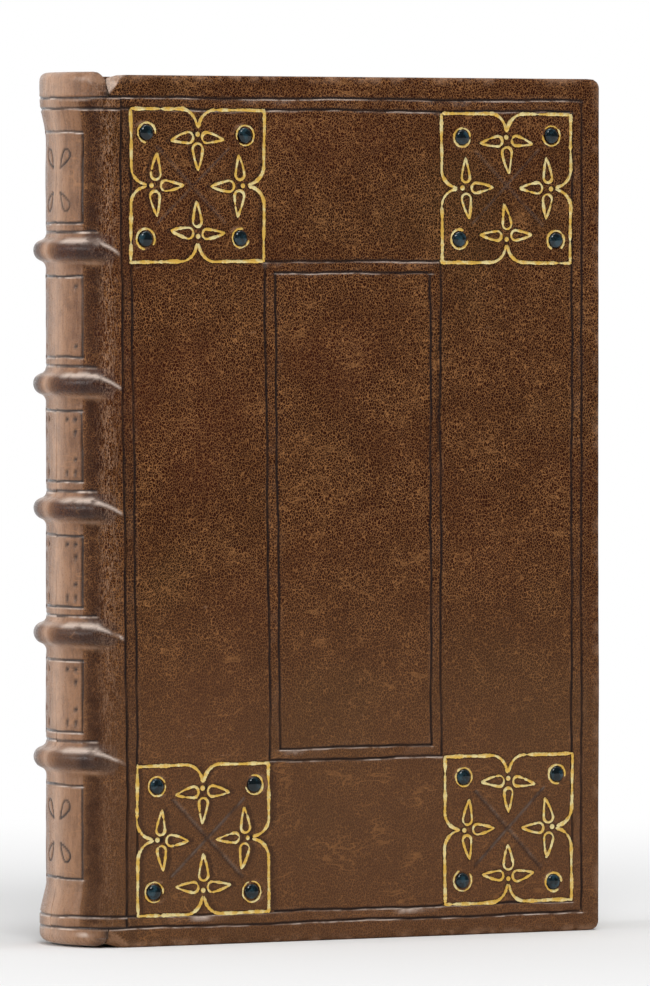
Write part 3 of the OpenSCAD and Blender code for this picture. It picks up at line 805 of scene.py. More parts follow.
class SpineShape:
    """Puts a point of half of the spine's skin, given along and up, in its place."""

    def __init__(self, side):
        self.side = side
        self.head = cap_profile(HEAD_CAP_R, 4.0)
        self.tail = cap_profile(TAIL_CAP_R, 3.4)
        self.v_end = HEAD_CAP_Z - HEAD_CAP_R
        self.v_start = TAIL_CAP_Z + TAIL_CAP_R

    def bands(self, s, z):
        """How far the bands stand out, fading to points on the covers."""
        width = 1 - 0.2 * ease(s, -3.5, 0)
        total = np.zeros(len(z))
        centre = SPINE_R + BAND_RISE - BAND_CREST_R
        hollow = SPINE_R + BAND_HOLLOW_R
        sum_r = BAND_CREST_R + BAND_HOLLOW_R
        reach = math.sqrt(sum_r**2 - (hollow - centre) ** 2)
        meet = reach * BAND_CREST_R / sum_r
        for middle in BAND_Z:
            above = z - middle + BAND_DROP * ease(s, -3.5, FRAME_U[0]) * 0.6
            off = np.abs(above) / width * np.where(above < 0, 0.9, 1.05)
            crest = centre - SPINE_R + np.sqrt(np.clip(BAND_CREST_R**2 - off**2, 0, None))
            slope = BAND_HOLLOW_R - np.sqrt(np.clip(BAND_HOLLOW_R**2 - (reach - off) ** 2, 0, None))
            total += np.where(off < meet, crest, np.where(off < reach, slope, 0))
        return total

    def caps(self, z):
        head = fall(HEAD_CAP_Z - z, 5.5, 15.5)
        tail = fall(z - TAIL_CAP_Z, 5.5, 14.5)
        return CAP_FLARE * np.maximum(head, tail) - 0.1 * bell(HEAD_CAP_Z - 16 - z, 4)

    def bare(self, s, up, height):
        """(x from the joint, way out from the middle, z) before the joint is rounded."""
        over = np.clip(up - self.v_end, 0, None)
        under = np.clip(self.v_start - up, 0, None)
        inwards = np.interp(over, self.head[0], self.head[1]) + np.interp(under, self.tail[0], self.tail[1])
        level = np.clip(up, self.v_start, self.v_end)
        z = np.where(over > 0, HEAD_CAP_Z - np.interp(over, self.head[0], self.head[2]), level)
        z = np.where(under > 0, TAIL_CAP_Z + np.interp(under, self.tail[0], self.tail[2]), z)
        rise = self.bands(s, level) + self.caps(level)
        angle = np.clip(HALF_ANGLE + s / SPINE_R, 1e-3, HALF_ANGLE)
        room = HALF_T / np.sin(angle) - SPINE_R
        soft = 0.12 * np.clip(rise, 0, None) + 1e-6
        near = np.clip(soft - np.abs(rise - room), 0, None) / soft
        rise = np.minimum(rise, room) - near**2 * soft / 4
        r = SPINE_R + rise - inwards + height
        x = SPINE_CENTRE - r * np.cos(angle)
        y = r * np.sin(angle)
        x = np.where(s > 0, s + leaning(s, z), np.minimum(x, np.where(s < 0, -0.03, 0)))
        y = np.where(s > 0, HALF_T + height, y)
        return x, y, z

    def place(self, s, up, height):
        x, y, z = self.bare(s, up, height)
        turn = 1.0
        q = np.clip((s + turn) / (2 * turn), 0, 1)
        start = self.bare(np.full(len(s), -turn), up, height)
        corner = self.bare(np.zeros(len(s)), up, height)
        end = self.bare(np.full(len(s), turn), up, height)
        inside = (q > 0) & (q < 1)
        share = np.clip(fall(up, 191.2, 193.2) - fall(up, 2.2, 4.2), 0, 1)
        for number, plain in enumerate((x, y)):
            curve = (1 - q) ** 2 * start[number] + 2 * q * (1 - q) * corner[number] + q**2 * end[number]
            plain[:] = np.where(inside, plain + (curve - plain) * share, plain)
        ridge = np.zeros(len(s))
        share = np.clip((s + 2.6) / (FRAME_U[0] + 2.6), 0, 1)
        for middle in BAND_Z:
            above = z - middle + BAND_DROP * share
            half = np.where(above > 0, 2.5, 3.0) * (1 - share) + 0.12
            ridge = np.maximum(ridge, np.clip(1 - np.abs(above) / half, 0, 1) ** 0.8)
        y = y + 0.9 * ridge * ease(s, -2.8, -1.2) * fall(s, 1.2, FRAME_U[0])
        across = np.abs(y)
        head_fall = 4.6 * ease(across, 10.8, 14.4) ** 1.2
        tail_rise = 1.8 * ease(across, 10.6, 14.0) ** 1.3
        top = FRAME_V[3] + 0.2
        share_up = np.clip((z - top) / (HEAD_CAP_Z - top), 0, 1)
        foot = 2.4
        share_down = np.clip((foot - z) / (foot - TAIL_CAP_Z), 0, 1)
        z = z - share_up * head_fall + share_down * tail_rise
        return np.stack([JOINT_X + x, MIDDLE_Y + self.side * y, z], 1)


def spine_skin(name, shape, sizes):
    """Half of the spine's skin, from its middle over the joint to the first blind line."""
    spans = near_lines(BAND_LINES + CAP_LINES + FRAME_V, step=0.24)
    spans += [(z - 5.7, z + 5.7, 0.36) for z in BAND_Z]
    spans += [(17, 36, 0.42), (162, 181, 0.42), (shape.v_start, 4.4, 0.4), (191, shape.v_end, 0.4)]
    up = stations(shape.v_start, shape.v_end, 0.9, spans)
    snap(up, (FRAME_V[0], FRAME_V[3]))
    up = np.concatenate([(shape.v_start - shape.tail[0][1:])[::-1], up, shape.v_end + shape.head[0][1:]])
    along = np.concatenate([
        np.linspace(SPINE_S0, -6, 27, endpoint=False),
        np.linspace(-6, 0, 19, endpoint=False),
        np.linspace(0, FRAME_U[0] - 0.5, 9, endpoint=False),
        np.linspace(FRAME_U[0] - 0.5, FRAME_U[0], 4),
    ])
    obj = grid_piece(name, along, up)
    remove_faces(obj, lambda s, v: (s > 0) & ((v < FRAME_V[0]) | (v > FRAME_V[3])))
    set_places(obj, shape.place(get_values(obj, "along"), get_values(obj, "up"), 0))
    if shape.side > 0:
        flip(obj)
    outside = thicken(obj, SPINE_SKIN_T)
    tooling = spine_tooling(get_values(obj, "along"), get_values(obj, "up"), shape, sizes)
    return tool_skin(obj, shape, tooling, outside)


def spine_tooling(s, v, shape, sizes):
    """Tools, fading and painted light on the spine, where u is the way round it from its middle."""
    u = s - SPINE_S0
    seed = 500 if shape.side < 0 else 700
    tooling = Tooling(u, v, sizes)
    tooling.height += 0.05 * uneven(u * 2, v, seed, 26) + 0.02 * uneven(u * 3, v, seed + 1, 8)
    edge = -SPINE_S0
    side_line = SPINE_R * math.radians(SIDE_LINE_ANGLE)
    rings = BAND_LINES + CAP_LINES
    for i, line in enumerate(rings):
        tooling.line_across(line, -2, side_line, seed + 10 + i, 0.8)
    for i, line in enumerate(FRAME_V):
        tooling.line_across(line, -2, edge + FRAME_U[0], seed + 30 + i, 0.8)
    tooling.line_up(edge + FRAME_U[0], FRAME_V[0], FRAME_V[3], FRONT_SEED + 10, 1.25, 0.2)
    bounds = sorted(rings)
    for i in range(0, len(bounds), 2):
        tooling.line_up(side_line, bounds[i], bounds[i + 1], seed + 40 + i, 0.9)
    arc = SPINE_R * math.pi / 180
    for low, high in DROP_PAIRS:
        for z, angle in ((low, 128), (high, -128)):
            drop = turned(drop_path(1.3, 3.6), angle) + [DROP_ANGLE * arc, z]
            tooling.along_path(ring(drop), 0.36, 0.24)
    for low, high in zip(BAND_Z[:3], BAND_Z[1:4]):
        for z, sign in ((low + DOT_FROM_BAND, 1), (high - DOT_FROM_BAND, -1)):
            for degree, further in DOT_PLACES:
                tooling.dot(degree * arc, z + sign * further, 0.7, 0.3)
    for z in (BAND_Z[3] + 8.2, BAND_Z[4] - 8.2):
        tooling.dot(20.6 * arc, z, 0.7, 0.3)
    degrees = u / arc
    cap = np.maximum(ease(v, 189.5, 192), fall(v, 3.5, 6))
    # Faded leather along the spine and over the caps; its fall-off across the spine is partly painted sheen
    tooling.mark("fade_and_sheen", np.interp(degrees, FADE_SHEEN_ANGLES, FADE_SHEEN_SHARES))
    tooling.mark("fade_and_sheen", cap * np.interp(degrees, [0, 25, 44], [1, 0.5, 0.1]))
    tooling.mark("polish", np.maximum(fall(s, -6.8, -6.0), cap))
    tooling.mark("deep", np.interp(degrees, DEEP_ANGLES, DEEP_SHARES) * (1 - cap))
    share = np.clip((s + 2.6) / (FRAME_U[0] + 2.6), 0, 1)
    for z in BAND_Z:
        crest = fall(np.abs(v - z + 0.3), 1.5, 2.6)
        tooling.marks["fade_and_sheen"] *= 1 - crest * ease(degrees, -4, 16)
        tooling.mark("line", 0.3 * crest * ease(degrees, 10, 24) * fall(s, -1, 3))
        # Painted reflection: a paler lower flank under each band, as if lit from the floor
        tooling.mark("fade_and_sheen", 0.6 * bell(v - z + 2.9, 0.8) * fall(s, -3, 1))
        tooling.mark("polish", fall(np.abs(v - z), 2.5, 4.5) * fall(s, 0, 3.4))
        tooling.line_across(z + 4.0, -2, edge - 3, seed + 60 + int(z), 0.35)
        # Painted highlight along the upper flank of each band, down to its point on the cover
        lip = z + 2.0 * (1 - share) - BAND_DROP * share
        bright = (0.25 + 0.75 * ease(degrees, 10, 18)) * fall(s, 2.6, FRAME_U[0])
        wide = 0.36 + 0.2 * ease(degrees, 8, 16) * fall(s, -3, 0)
        tooling.mark("glint", bright * bell(v - lip, wide))
    # Pale wrinkles beside the joint: creased leather, with painted highlights on the wrinkles
    tooling.mark("crease_and_sheen", bell(s - 0.3, 2.3))
    # Painted shadow: a dark line in the joint beside the head and tail caps
    tooling.mark("line", 0.85 * bell(s + 0.1, 0.55) * np.maximum(ease(v, 190.6, 191.6), fall(v, 3.6, 4.6)))
    tooling.mark("rub_and_sheen", 0.8 * np.maximum(ease(v, 193, 195.5), fall(v, 1.5, 4.0)))
    # Painted highlights on the upper edges of the head and tail caps
    for z, degree in ((195.2, 29), (3.0, 30)):
        tooling.mark("glint", 0.7 * bell(v - z, 0.5) * bell(degrees - degree, 5.0))
    # Folds in the tail cap, pressed in, with painted shade in their hollows
    folds = np.clip(np.sin(4.6 * u + 2.4 * v), 0, 1) ** 2 * fall(v, 1.6, 3.0)
    tooling.height -= 0.14 * folds
    tooling.mark("line", 0.3 * folds)
    return tooling


# The materials

class Value:
    """An output of a node. Sums and products of values add the nodes that work them out."""

    def __init__(self, tree, socket):
        self.tree = tree
        self.socket = socket

    def maths(self, operation, other=0.0):
        return node(self.tree, "ShaderNodeMath", {0: self, 1: other}, operation=operation)

    def __add__(self, other):
        return self.maths("ADD", other)

    def __sub__(self, other):
        return self.maths("SUBTRACT", other)

    def __mul__(self, other):
        return self.maths("MULTIPLY", other)

    def __abs__(self):
        return self.maths("ABSOLUTE")

    def ramp(self, low, high, to_low=0.0, to_high=1.0):
        """Goes smoothly from to_low to to_high while this value goes from low to high."""
        inputs = {"Value": self, "From Min": low, "From Max": high, "To Min": to_low, "To Max": to_high}
        return node(self.tree, "ShaderNodeMapRange", inputs, interpolation_type="SMOOTHSTEP")

    def under(self, colour, share):
        """This colour with another laid over it, as strongly as share says."""
        return node(self.tree, "ShaderNodeMix", {0: share, 6: self, 7: colour}, 2, data_type="RGBA")


def put(socket, value):
    """Links a value to a socket, or sets the socket to a constant."""
    if isinstance(value, Value):
        value.tree.links.new(value.socket, socket)
    elif socket.type == "RGBA" and len(value) == 3:
        socket.default_value = (*value, 1)
    else:
        socket.default_value = value


def node(tree, kind, inputs, output=0, **settings):
    """Adds a node, fills its inputs by name or number, and returns one of its outputs."""
    made = tree.nodes.new(kind)
    for key, value in settings.items():
        setattr(made, key, value)
    for key, value in inputs.items():
        put(made.inputs[key], value)
    return Value(tree, made.outputs[output])


class Surface:
    """A new material, with the nodes that its colour and its relief start from."""

    def __init__(self, name):
        self.material = bpy.data.materials.new(name)
        self.material.use_nodes = True
        self.tree = self.material.node_tree
        self.shader = self.tree.nodes["Principled BSDF"]
        self.place = self.stretched((1, 1, 1))

    def node(self, kind, inputs, output=0, **settings):
        return node(self.tree, kind, inputs, output, **settings)

    def stretched(self, scale):
        """The object's own coordinates times scale."""
        place = self.node("ShaderNodeTexCoord", {}, "Object")
        return self.node("ShaderNodeMapping", {"Vector": place, "Scale": scale})

    def noise(self, scale, detail=3.0, roughness=0.55, stretch=None):
        place = self.stretched(stretch) if stretch else self.place
        inputs = {"Vector": place, "Scale": scale, "Detail": detail, "Roughness": roughness}
        return self.node("ShaderNodeTexNoise", inputs)

    def attribute(self, name):
        return self.node("ShaderNodeAttribute", {}, "Fac", attribute_name=name)

    def colours(self, share, a, b):
        """Colour a where share is 0, and colour b where it is 1."""
        return self.node("ShaderNodeMix", {0: share, 6: a, 7: b}, 2, data_type="RGBA")

    def bump(self, height, strength, distance, below=None):
        """Relief by a height, with its distance in millimetres, over the relief below."""
        inputs = {"Height": height, "Strength": strength, "Distance": distance * MM}
        if below is not None:
            inputs["Normal"] = below
        return self.node("ShaderNodeBump", inputs)

    def constant(self, name, value):
        self.shader.inputs[name].default_value = value

    def finished(self, colour, roughness, relief):
        for name, value in (("Base Color", colour), ("Roughness", roughness), ("Normal", relief)):
            put(self.shader.inputs[name], value)
        return self.material


def leather_material(name, finish, specular):
    """Goatskin. It has its grain, and shows the finisher's marks, the wear and the painted light that the
    mesh carries.
    """
    skin = Surface(name)
    height = skin.node("ShaderNodeSeparateXYZ", {"Vector": skin.place}, "Z")
    upper = height.ramp(0.012, 0.115)
    bend = skin.node("ShaderNodeTexNoise", {"Vector": skin.place, "Scale": 420.0, "Detail": 2.0}, "Color")
    bend = skin.node("ShaderNodeVectorMath", {0: bend, 1: (0.5, 0.5, 0.5)}, operation="SUBTRACT")
    bend = skin.node("ShaderNodeVectorMath", {0: bend, 3: 1.6 * MM}, operation="SCALE")
    bent = skin.node("ShaderNodeVectorMath", {0: skin.place, 1: bend}, operation="ADD")
    bent = skin.node("ShaderNodeMapping", {"Vector": bent, "Scale": (1.0, 1.0, 0.72)})
    cells = {"Vector": bent, "Scale": 1950.0}
    edge = skin.node("ShaderNodeTexVoronoi", cells, "Distance", feature="DISTANCE_TO_EDGE")
    patch = skin.noise(26.0, 2.0)
    drift = skin.noise(95.0)
    fine = skin.noise(2300.0, 2.0)
    line, rub_and_sheen, glint, crease_and_sheen, fade_and_sheen, polish, deep = [skin.attribute(mark) for mark in MARKS]

    net = edge.ramp(0.01, 0.1, 1.0, 0.0) * drift.ramp(0.35, 0.62, 0.62, 1.0) * upper.ramp(0.0, 1.0, 0.5, 1.0)
    body = skin.colours(edge.ramp(0.04, 0.17), finish.leather_mid, finish.leather_dark)
    body = body.under(finish.leather_red, patch.ramp(0.5, 0.72, 0.0, 0.45))
    body = body.under(finish.leather_green, patch.ramp(0.5, 0.3, 0.0, 0.4))
    body = body.under(finish.leather_dull, upper.ramp(0.0, 1.0, 0.62, 0.0))
    body = body.under(finish.leather_light, net * polish.ramp(0.0, 1.0, finish.grain, 0.15))
    folds = abs(skin.noise(70.0, 3.0, 0.6, (0.5, 0.5, 1.5)) - 0.5).ramp(0.0, 0.012, 0.4, 0.0)
    body = body.under(finish.leather_light, folds * drift.ramp(0.45, 0.6))

    streak = skin.noise(900.0, 5.0, 0.75, (1.0, 1.0, 0.17))
    blotch = skin.noise(210.0, 4.0, 0.65)
    # Where the spine shows faded: real fading, partly painted sheen
    faded = fade_and_sheen * streak.ramp(0.36, 0.64, 0.55, 1.1) * blotch.ramp(0.34, 0.6, 0.65, 1.0)
    body = body.under(finish.leather_deep, deep * blotch.ramp(0.3, 0.62, 1.0, 0.6))
    body = body.under(finish.leather_faded_and_lit, faded)
    body = body.under(finish.leather_red, fade_and_sheen * streak.ramp(0.52, 0.68, 0.0, 0.55))
    # Painted highlight: a pale sheen where the spine is most faded
    body = body.under(finish.painted_highlight, fade_and_sheen.ramp(0.4, 0.95, 0.0, 0.22))
    # Pale wrinkles beside the joint: wear, partly painted highlight on their ridges
    wrinkle = abs(skin.noise(1500.0, 3.0, 0.6, (1.0, 1.0, 0.22)) - 0.5).ramp(0.0, 0.045, 0.85, 0.0)
    body = body.under(finish.leather_worn_and_lit, wrinkle * crease_and_sheen * upper.ramp(0.0, 1.0, 0.35, 0.9))
    # Rubbed leather, partly painted light on the corner bevels and the stone rims
    body = body.under(finish.leather_worn_and_lit, rub_and_sheen * skin.noise(330.0).ramp(0.42, 0.66, 0.0, finish.wear))
    scuffs = skin.noise(240.0, 4.0, 0.7, (1.0, 1.0, 2.2)).ramp(0.67, 0.78, 0.0, 0.35)
    body = body.under(finish.leather_worn_and_lit, scuffs)
    # Blind lines, with painted shade in the caps' joints and the tail cap's folds
    body = body.under(finish.blind_line_and_shade, line * drift.ramp(0.3, 0.55, 0.7, 0.97))
    # Painted highlights on the lines' lower edges, the bands, the caps and the head's corner bevels
    body = body.under(finish.painted_highlight, glint * skin.noise(300.0, 2.0).ramp(0.35, 0.55, 0.2, 0.9))

    rough = fine.ramp(0.3, 0.7, 0.42, 0.62) - line * 0.2 - polish * 0.17
    pebbles = edge.ramp(0.0, 0.3) * polish.ramp(0.0, 1.0, 1.0, 0.2) * line.ramp(0.1, 0.7, 1.0, 0.2)
    wide = skin.bump(skin.noise(240.0) + streak * polish - wrinkle * crease_and_sheen, 0.4, 0.35)
    skin.constant("Specular IOR Level", specular)
    return skin.finished(body, rough, skin.bump(pebbles + fine * 0.3, 0.8, 0.12, wide))


def gilt_material(name, finish):
    gold = Surface(name)
    patch = gold.noise(420.0, 4.0, 0.65)
    fine = gold.noise(2600.0, 2.0)
    body = gold.colours(patch.ramp(0.42, 0.62), finish.gold, finish.gold_pale)
    body = body.under(finish.leather_mid, gold.noise(800.0, 4.0, 0.7).ramp(0.67, 0.74, 0.0, 0.75))
    gold.constant("Metallic", 0.55)
    return gold.finished(body, fine.ramp(0.3, 0.7, 0.28, 0.5), gold.bump(patch + fine, 0.5, 0.12))


def stone_material(name, finish):
    glass = Surface(name)
    swirl = glass.noise(520.0, 4.0, 0.6)
    body = glass.colours(swirl.ramp(0.45, 0.68), finish.stone_dark, finish.stone_light)
    glass.constant("Specular IOR Level", 0.4)
    return glass.finished(body, glass.noise(1500.0).ramp(0.4, 0.7, 0.06, 0.16), glass.bump(swirl, 0.25, 0.1))


def leaf_edge_material(name, finish):
    paper = Surface(name)
    leaves = paper.noise(5200.0, 2.0, stretch=(0.02, 1.0, 0.02))
    tone = paper.noise(40.0, 4.0)
    body = paper.colours(leaves.ramp(0.35, 0.62), finish.paper_dark, finish.paper)
    body = body.under(finish.paper_dark, tone.ramp(0.45, 0.75, 0.0, 0.6))
    body = body.under(finish.paper_dark, paper.noise(420.0).ramp(0.62, 0.74, 0.0, 0.5))
    paper.constant("Specular IOR Level", 0.25)
    return paper.finished(body, tone.ramp(0.3, 0.7, 0.75, 0.92), paper.bump(leaves, 0.6, 0.1))


def sheet_material(name, light, dark, fibre=900.0):
    """Paper, board, lining or cord: fibres, mottling and stains."""
    sheet = Surface(name)
    fibres = sheet.noise(fibre, 5.0, 0.7)
    body = sheet.colours(fibres.ramp(0.35, 0.7), dark, light)
    body = body.under(dark, sheet.noise(22.0, 4.0).ramp(0.42, 0.8, 0.0, 0.5))
    body = body.under(dark, sheet.noise(210.0, 2.0).ramp(0.68, 0.76, 0.0, 0.4))
    sheet.constant("Specular IOR Level", 0.25)
    return sheet.finished(body, fibres.ramp(0.3, 0.7, 0.7, 0.9), sheet.bump(fibres, 0.4, 0.08))


def thread_material(name, finish):
    silk = Surface(name)
    fibres = silk.noise(4200.0)
    body = silk.colours(silk.attribute("turn").ramp(0.48, 0.52), finish.thread_red, finish.thread_pale)
    body = body.under(finish.paper_dark, fibres.ramp(0.4, 0.75, 0.0, 0.4))
    return silk.finished(body, fibres.ramp(0.3, 0.7, 0.45, 0.7), silk.bump(fibres, 0.5, 0.06))


def material(name, make, *values):
    """The material of that name, made at its first use."""
    return bpy.data.materials.get(name) or make(name, *values)


def goatskin(finish):
    return material("cover_goatskin", leather_material, finish, 0.08)


def endpaper(finish):
    return material("endpaper", sheet_material, finish.endpaper, finish.paper_dark)


# The operators

class BOOK_OT_covers(bpy.types.Operator):
    """Cover both boards with tooled leather"""

    bl_idname = "book.covers"
    bl_label = "Cover the boards"
    bl_options = {"REGISTER", "UNDO"}

    def execute(self, context):
        finish = context.scene.book_finish
        sizes = context.scene.book_sizes
        leather = goatskin(finish)
        for side, face_y, inwards, ornamented in (("front", FRONT_Y, 1, True), ("back", BACK_Y, -1, False)):
            skin = cover_skin(f"{side}_cover_skin", CoverShape(face_y, inwards), sizes, ornamented)
            finish_piece(skin, leather)
            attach(skin, f"{side}_cover")
            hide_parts(f"{side}_cover_leather")
        return {"FINISHED"}


class BOOK_OT_spine(bpy.types.Operator):
    """Draw the leather over the bands, the caps and both joints"""

    bl_idname = "book.spine"
    bl_label = "Cover the spine"
    bl_options = {"REGISTER", "UNDO"}

    def execute(self, context):
        finish = context.scene.book_finish
        grained = goatskin(finish)
        polished = leather_material("spine_goatskin", finish, 0.24)
        shader = polished.node_tree.nodes["Principled BSDF"]
        shader.inputs["Sheen Weight"].default_value = 0.36
        shader.inputs["Sheen Roughness"].default_value = 0.2
        for side, sign in (("front", -1), ("back", 1)):
            skin = spine_skin(f"{side}_spine_skin", SpineShape(sign), context.scene.book_sizes)
            finish_piece(skin, grained)
            skin.data.materials.append(polished)
            share = get_values(skin, "polish")
            shiny = [int(share[list(face.vertices)].mean() > 0.5) for face in skin.data.polygons]
            skin.data.polygons.foreach_set("material_index", shiny)
            y = (FRONT_Y if sign < 0 else BACK_Y) * MM
            (JOINT_X - 0.02) * MM
            (JOINT_X + 1.3) * MM
            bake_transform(skin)
            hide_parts("spine_leather")
        return {"FINISHED"}


def curve_piece(name, lines, face_y, flatten, rise):
    """Closed tubes along (points, closed, radii), flattened against the front cover."""
    curve = bpy.data.curves.new(name, "CURVE")
    curve.dimensions = "3D"
    curve.bevel_depth = MM
    curve.bevel_resolution = 1
    curve.use_fill_caps = True
    for points, closed, radii in lines:
        spline = curve.splines.new("POLY")
        spline.points.add(len(points) - 1)
        for point, (u, v), radius in zip(spline.points, points, radii):
            point.co = ((JOINT_X + u) * MM, face_y * MM, v * MM, 1)
            point.radius = radius
        spline.use_cyclic_u = closed
    obj = bpy.data.objects.new(name, curve)
    bpy.context.collection.objects.link(obj)
    select_only(obj)
    bpy.ops.object.convert(target="MESH")
    obj = name_piece(bpy.context.object, name)
    merge_doubles(obj, 0.0005)
    co = places(obj)
    rise = rise + undulation(co[:, 0] - JOINT_X, co[:, 2], FRONT_SEED)
    co[:, 1] = face_y - rise + (co[:, 1] - face_y) * flatten
    set_places(obj, co)
    return obj


def resampled(path, closed, step=0.3):
    whole = ring(path) if closed else path
    length = lengths(*whole.T)
    count = max(int(length[-1] / step), 4)
    at = np.linspace(0, length[-1], count, endpoint=not closed)
    return np.stack([np.interp(at, length, whole[:, i]) for i in (0, 1)], 1)


def gilt_radii(count, half_w, closed, rng):
    """Uneven widths along a line: pressure, thin places and short gaps."""
    x = np.linspace(0, 1, count, endpoint=not closed)
    width = np.ones(count)
    for turns in (1, 2, 3, 5):
        width += rng.uniform(0.04, 0.16) * np.sin(2 * math.pi * (turns * x + rng.uniform()))
    width *= rng.uniform(0.78, 1.16, count)
    if rng.uniform() < 0.5:
        gap = rng.uniform(0.1, 0.9)
        width *= 1 - 0.75 * bell(x - gap, 0.02)
    if not closed:
        width *= np.clip(np.minimum(x, 1 - x) * 18 + 0.45, 0, 1)
    return np.clip(width, 0.15, 1.5) * half_w


def stone_ring(middle, rng):
    """The gold round a stone, struck with a gap. It returns points, closed and radii."""
    start = rng.uniform(0, 2 * math.pi)
    angles = start + np.linspace(0, rng.uniform(4.6, 6.2), 40)
    radius = rng.uniform(2.1, 2.4) + rng.uniform(-0.05, 0.05, 40)
    points = np.stack([np.cos(angles) * radius, np.sin(angles) * radius], 1) + middle
    return points, False, gilt_radii(40, rng.uniform(0.2, 0.3), False, rng)


class BOOK_OT_gilding(bpy.types.Operator):
    """Lay the gold of the four corner ornaments"""

    bl_idname = "book.gilding"
    bl_label = "Gild the ornaments"
    bl_options = {"REGISTER", "UNDO"}

    def execute(self, context):
        finish = context.scene.book_finish
        sizes = context.scene.book_sizes
        gold = material("gold_leaf", gilt_material, finish)
        for number, name in enumerate(ORNAMENTS):
            corner = ornament_corner(name)
            rng = np.random.default_rng(900 + number)
            lines = []
            for path, closed, kind in ornament_paths(number):
                if kind == "dot":
                    angles = np.linspace(0, 2 * math.pi, 9)[:-1]
                    dot = np.stack([np.cos(angles), np.sin(angles)], 1) * 0.28 + (path[0] + corner)
                    lines.append((dot, True, np.full(8, 0.37) * rng.uniform(0.85, 1.1)))
                    continue
                points = resampled(path, closed) + corner
                half_w = (sizes.gilt_width if kind == "line" else sizes.leaf_line_width) / MM / 2
                lines.append((points, closed, gilt_radii(len(points), half_w, closed, rng)))
            gilt = curve_piece(f"gilt_{name[8:]}", lines, FRONT_Y, 0.3, -0.03)
            rings = [stone_ring(middle, rng) for middle in stone_places(name)]
            ring_piece = curve_piece(f"{gilt.name}_rings", rings, FRONT_Y, 0.5, 0.31)
            select_only(ring_piece, gilt)
            bpy.ops.object.join()
            smooth(gilt, 60)
            finish_piece(gilt, gold)
            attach(gilt, "front_cover")
            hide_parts(name)
        return {"FINISHED"}


class BOOK_OT_stones(bpy.types.Operator):
    """Set the sixteen small stones"""

    bl_idname = "book.stones"
    bl_label = "Set the stones"
    bl_options = {"REGISTER", "UNDO"}

    def execute(self, context):
        glass = material("dark_cabochon", stone_material, context.scene.book_finish)
        rng = np.random.default_rng(40)
        middles = [middle for name in ORNAMENTS for middle in stone_places(name)]
        for number, middle in enumerate(middles, 1):
            select_only()
            bpy.ops.mesh.primitive_uv_sphere_add(segments=36, ring_count=22, radius=STONE_R * MM)
            stone = name_piece(bpy.context.object, f"set_stone_{number}")
            x, y, z = places(stone).T
            above = z > 0
            angle = np.arctan2(y, x)
            oval = 0.02 * np.sin(2 * angle + rng.uniform(0, 6))
            swell = 1 + oval + 0.012 * np.sin(3 * angle + rng.uniform(0, 6))
            tilt = rng.uniform(-0.03, 0.03, 2)
            dome = z / STONE_R * np.where(above, STONE_DOME, 0.5)
            out = dome + np.where(above, 0.3 + x * tilt[0] + y * tilt[1], 0)
            out = np.clip(out, -0.45, STONE_RISE)
            u = middle[0] + x * swell
            v = middle[1] + y * swell
            set_places(stone, np.stack([JOINT_X + u, FRONT_Y - out, v], 1))
            smooth(stone, 60)
            finish_piece(stone, glass)
            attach(stone, "front_cover")
            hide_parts(f"stone_{number}")
        return {"FINISHED"}


class BOOK_OT_leaves(bpy.types.Operator):
    """Cut the edges of the leaves"""

    bl_idname = "book.leaves"
    bl_label = "Make the leaves"
    bl_options = {"REGISTER", "UNDO"}

    def execute(self, context):
        finish = context.scene.book_finish
        count = context.scene.book_sizes.leaf_count
        low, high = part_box("text_block")
        half = (high.y - low.y) / MM / 2
        rng = np.random.default_rng(77)
        steps = 2 * count + 1
        across = np.linspace(-half, half, steps)
        groove = np.arange(steps) % 2
        head = BOOK_H - SQUARE - 0.12 * groove - 0.1 * rng.uniform(0, 1, steps)
        tail = SQUARE + 0.12 * groove + 0.1 * rng.uniform(0, 1, steps)
        hollow_r = (half**2 + LEAF_HOLLOW**2) / (2 * LEAF_HOLLOW)
        fore = BOARD_W - SQUARE - LEAF_HOLLOW + hollow_r - np.sqrt(hollow_r**2 - across**2)
        fore = fore - 0.14 * groove - 0.12 * rng.uniform(0, 1, steps)
        folds = SPINE_CENTRE - np.sqrt(FOLDS_R**2 - across**2)
        x_steps = np.arange(26) / 26
        z_steps = np.arange(34) / 34
        outline = [(x, 0.0) for x in x_steps] + [(1.0, z) for z in z_steps]
        outline += [(1 - x, 1.0) for x in x_steps] + [(0.0, 1 - z) for z in z_steps]
        outline = ring(np.array(outline))
        block = grid_piece("leaves", np.arange(len(outline)), np.arange(steps))
        column = get_values(block, "along").astype(int)
        row = get_values(block, "up").astype(int)
        share_x, share_z = outline[column].T
        x = folds[row] + (fore[row] - folds[row]) * share_x
        z = tail[row] + (head[row] - tail[row]) * share_z
        wave = 0.16 * uneven(x, z, 5, 70) * share_x * (1 - (across[row] / half) ** 2)
        set_places(block, np.stack([JOINT_X + x, MIDDLE_Y + across[row] + wave, z], 1))
        merge_doubles(block)
        close_rims(block)
        face_outwards(block)
        smooth(block, 20)
        finish_piece(block, material("leaf_edges", leaf_edge_material, finish))
        block.data.materials.append(endpaper(finish))
        for face in block.data.polygons:
            face.material_index = int(abs(face.normal.y) > 0.9)
        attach(block, "text_block")
        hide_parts("text_block")
        return {"FINISHED"}


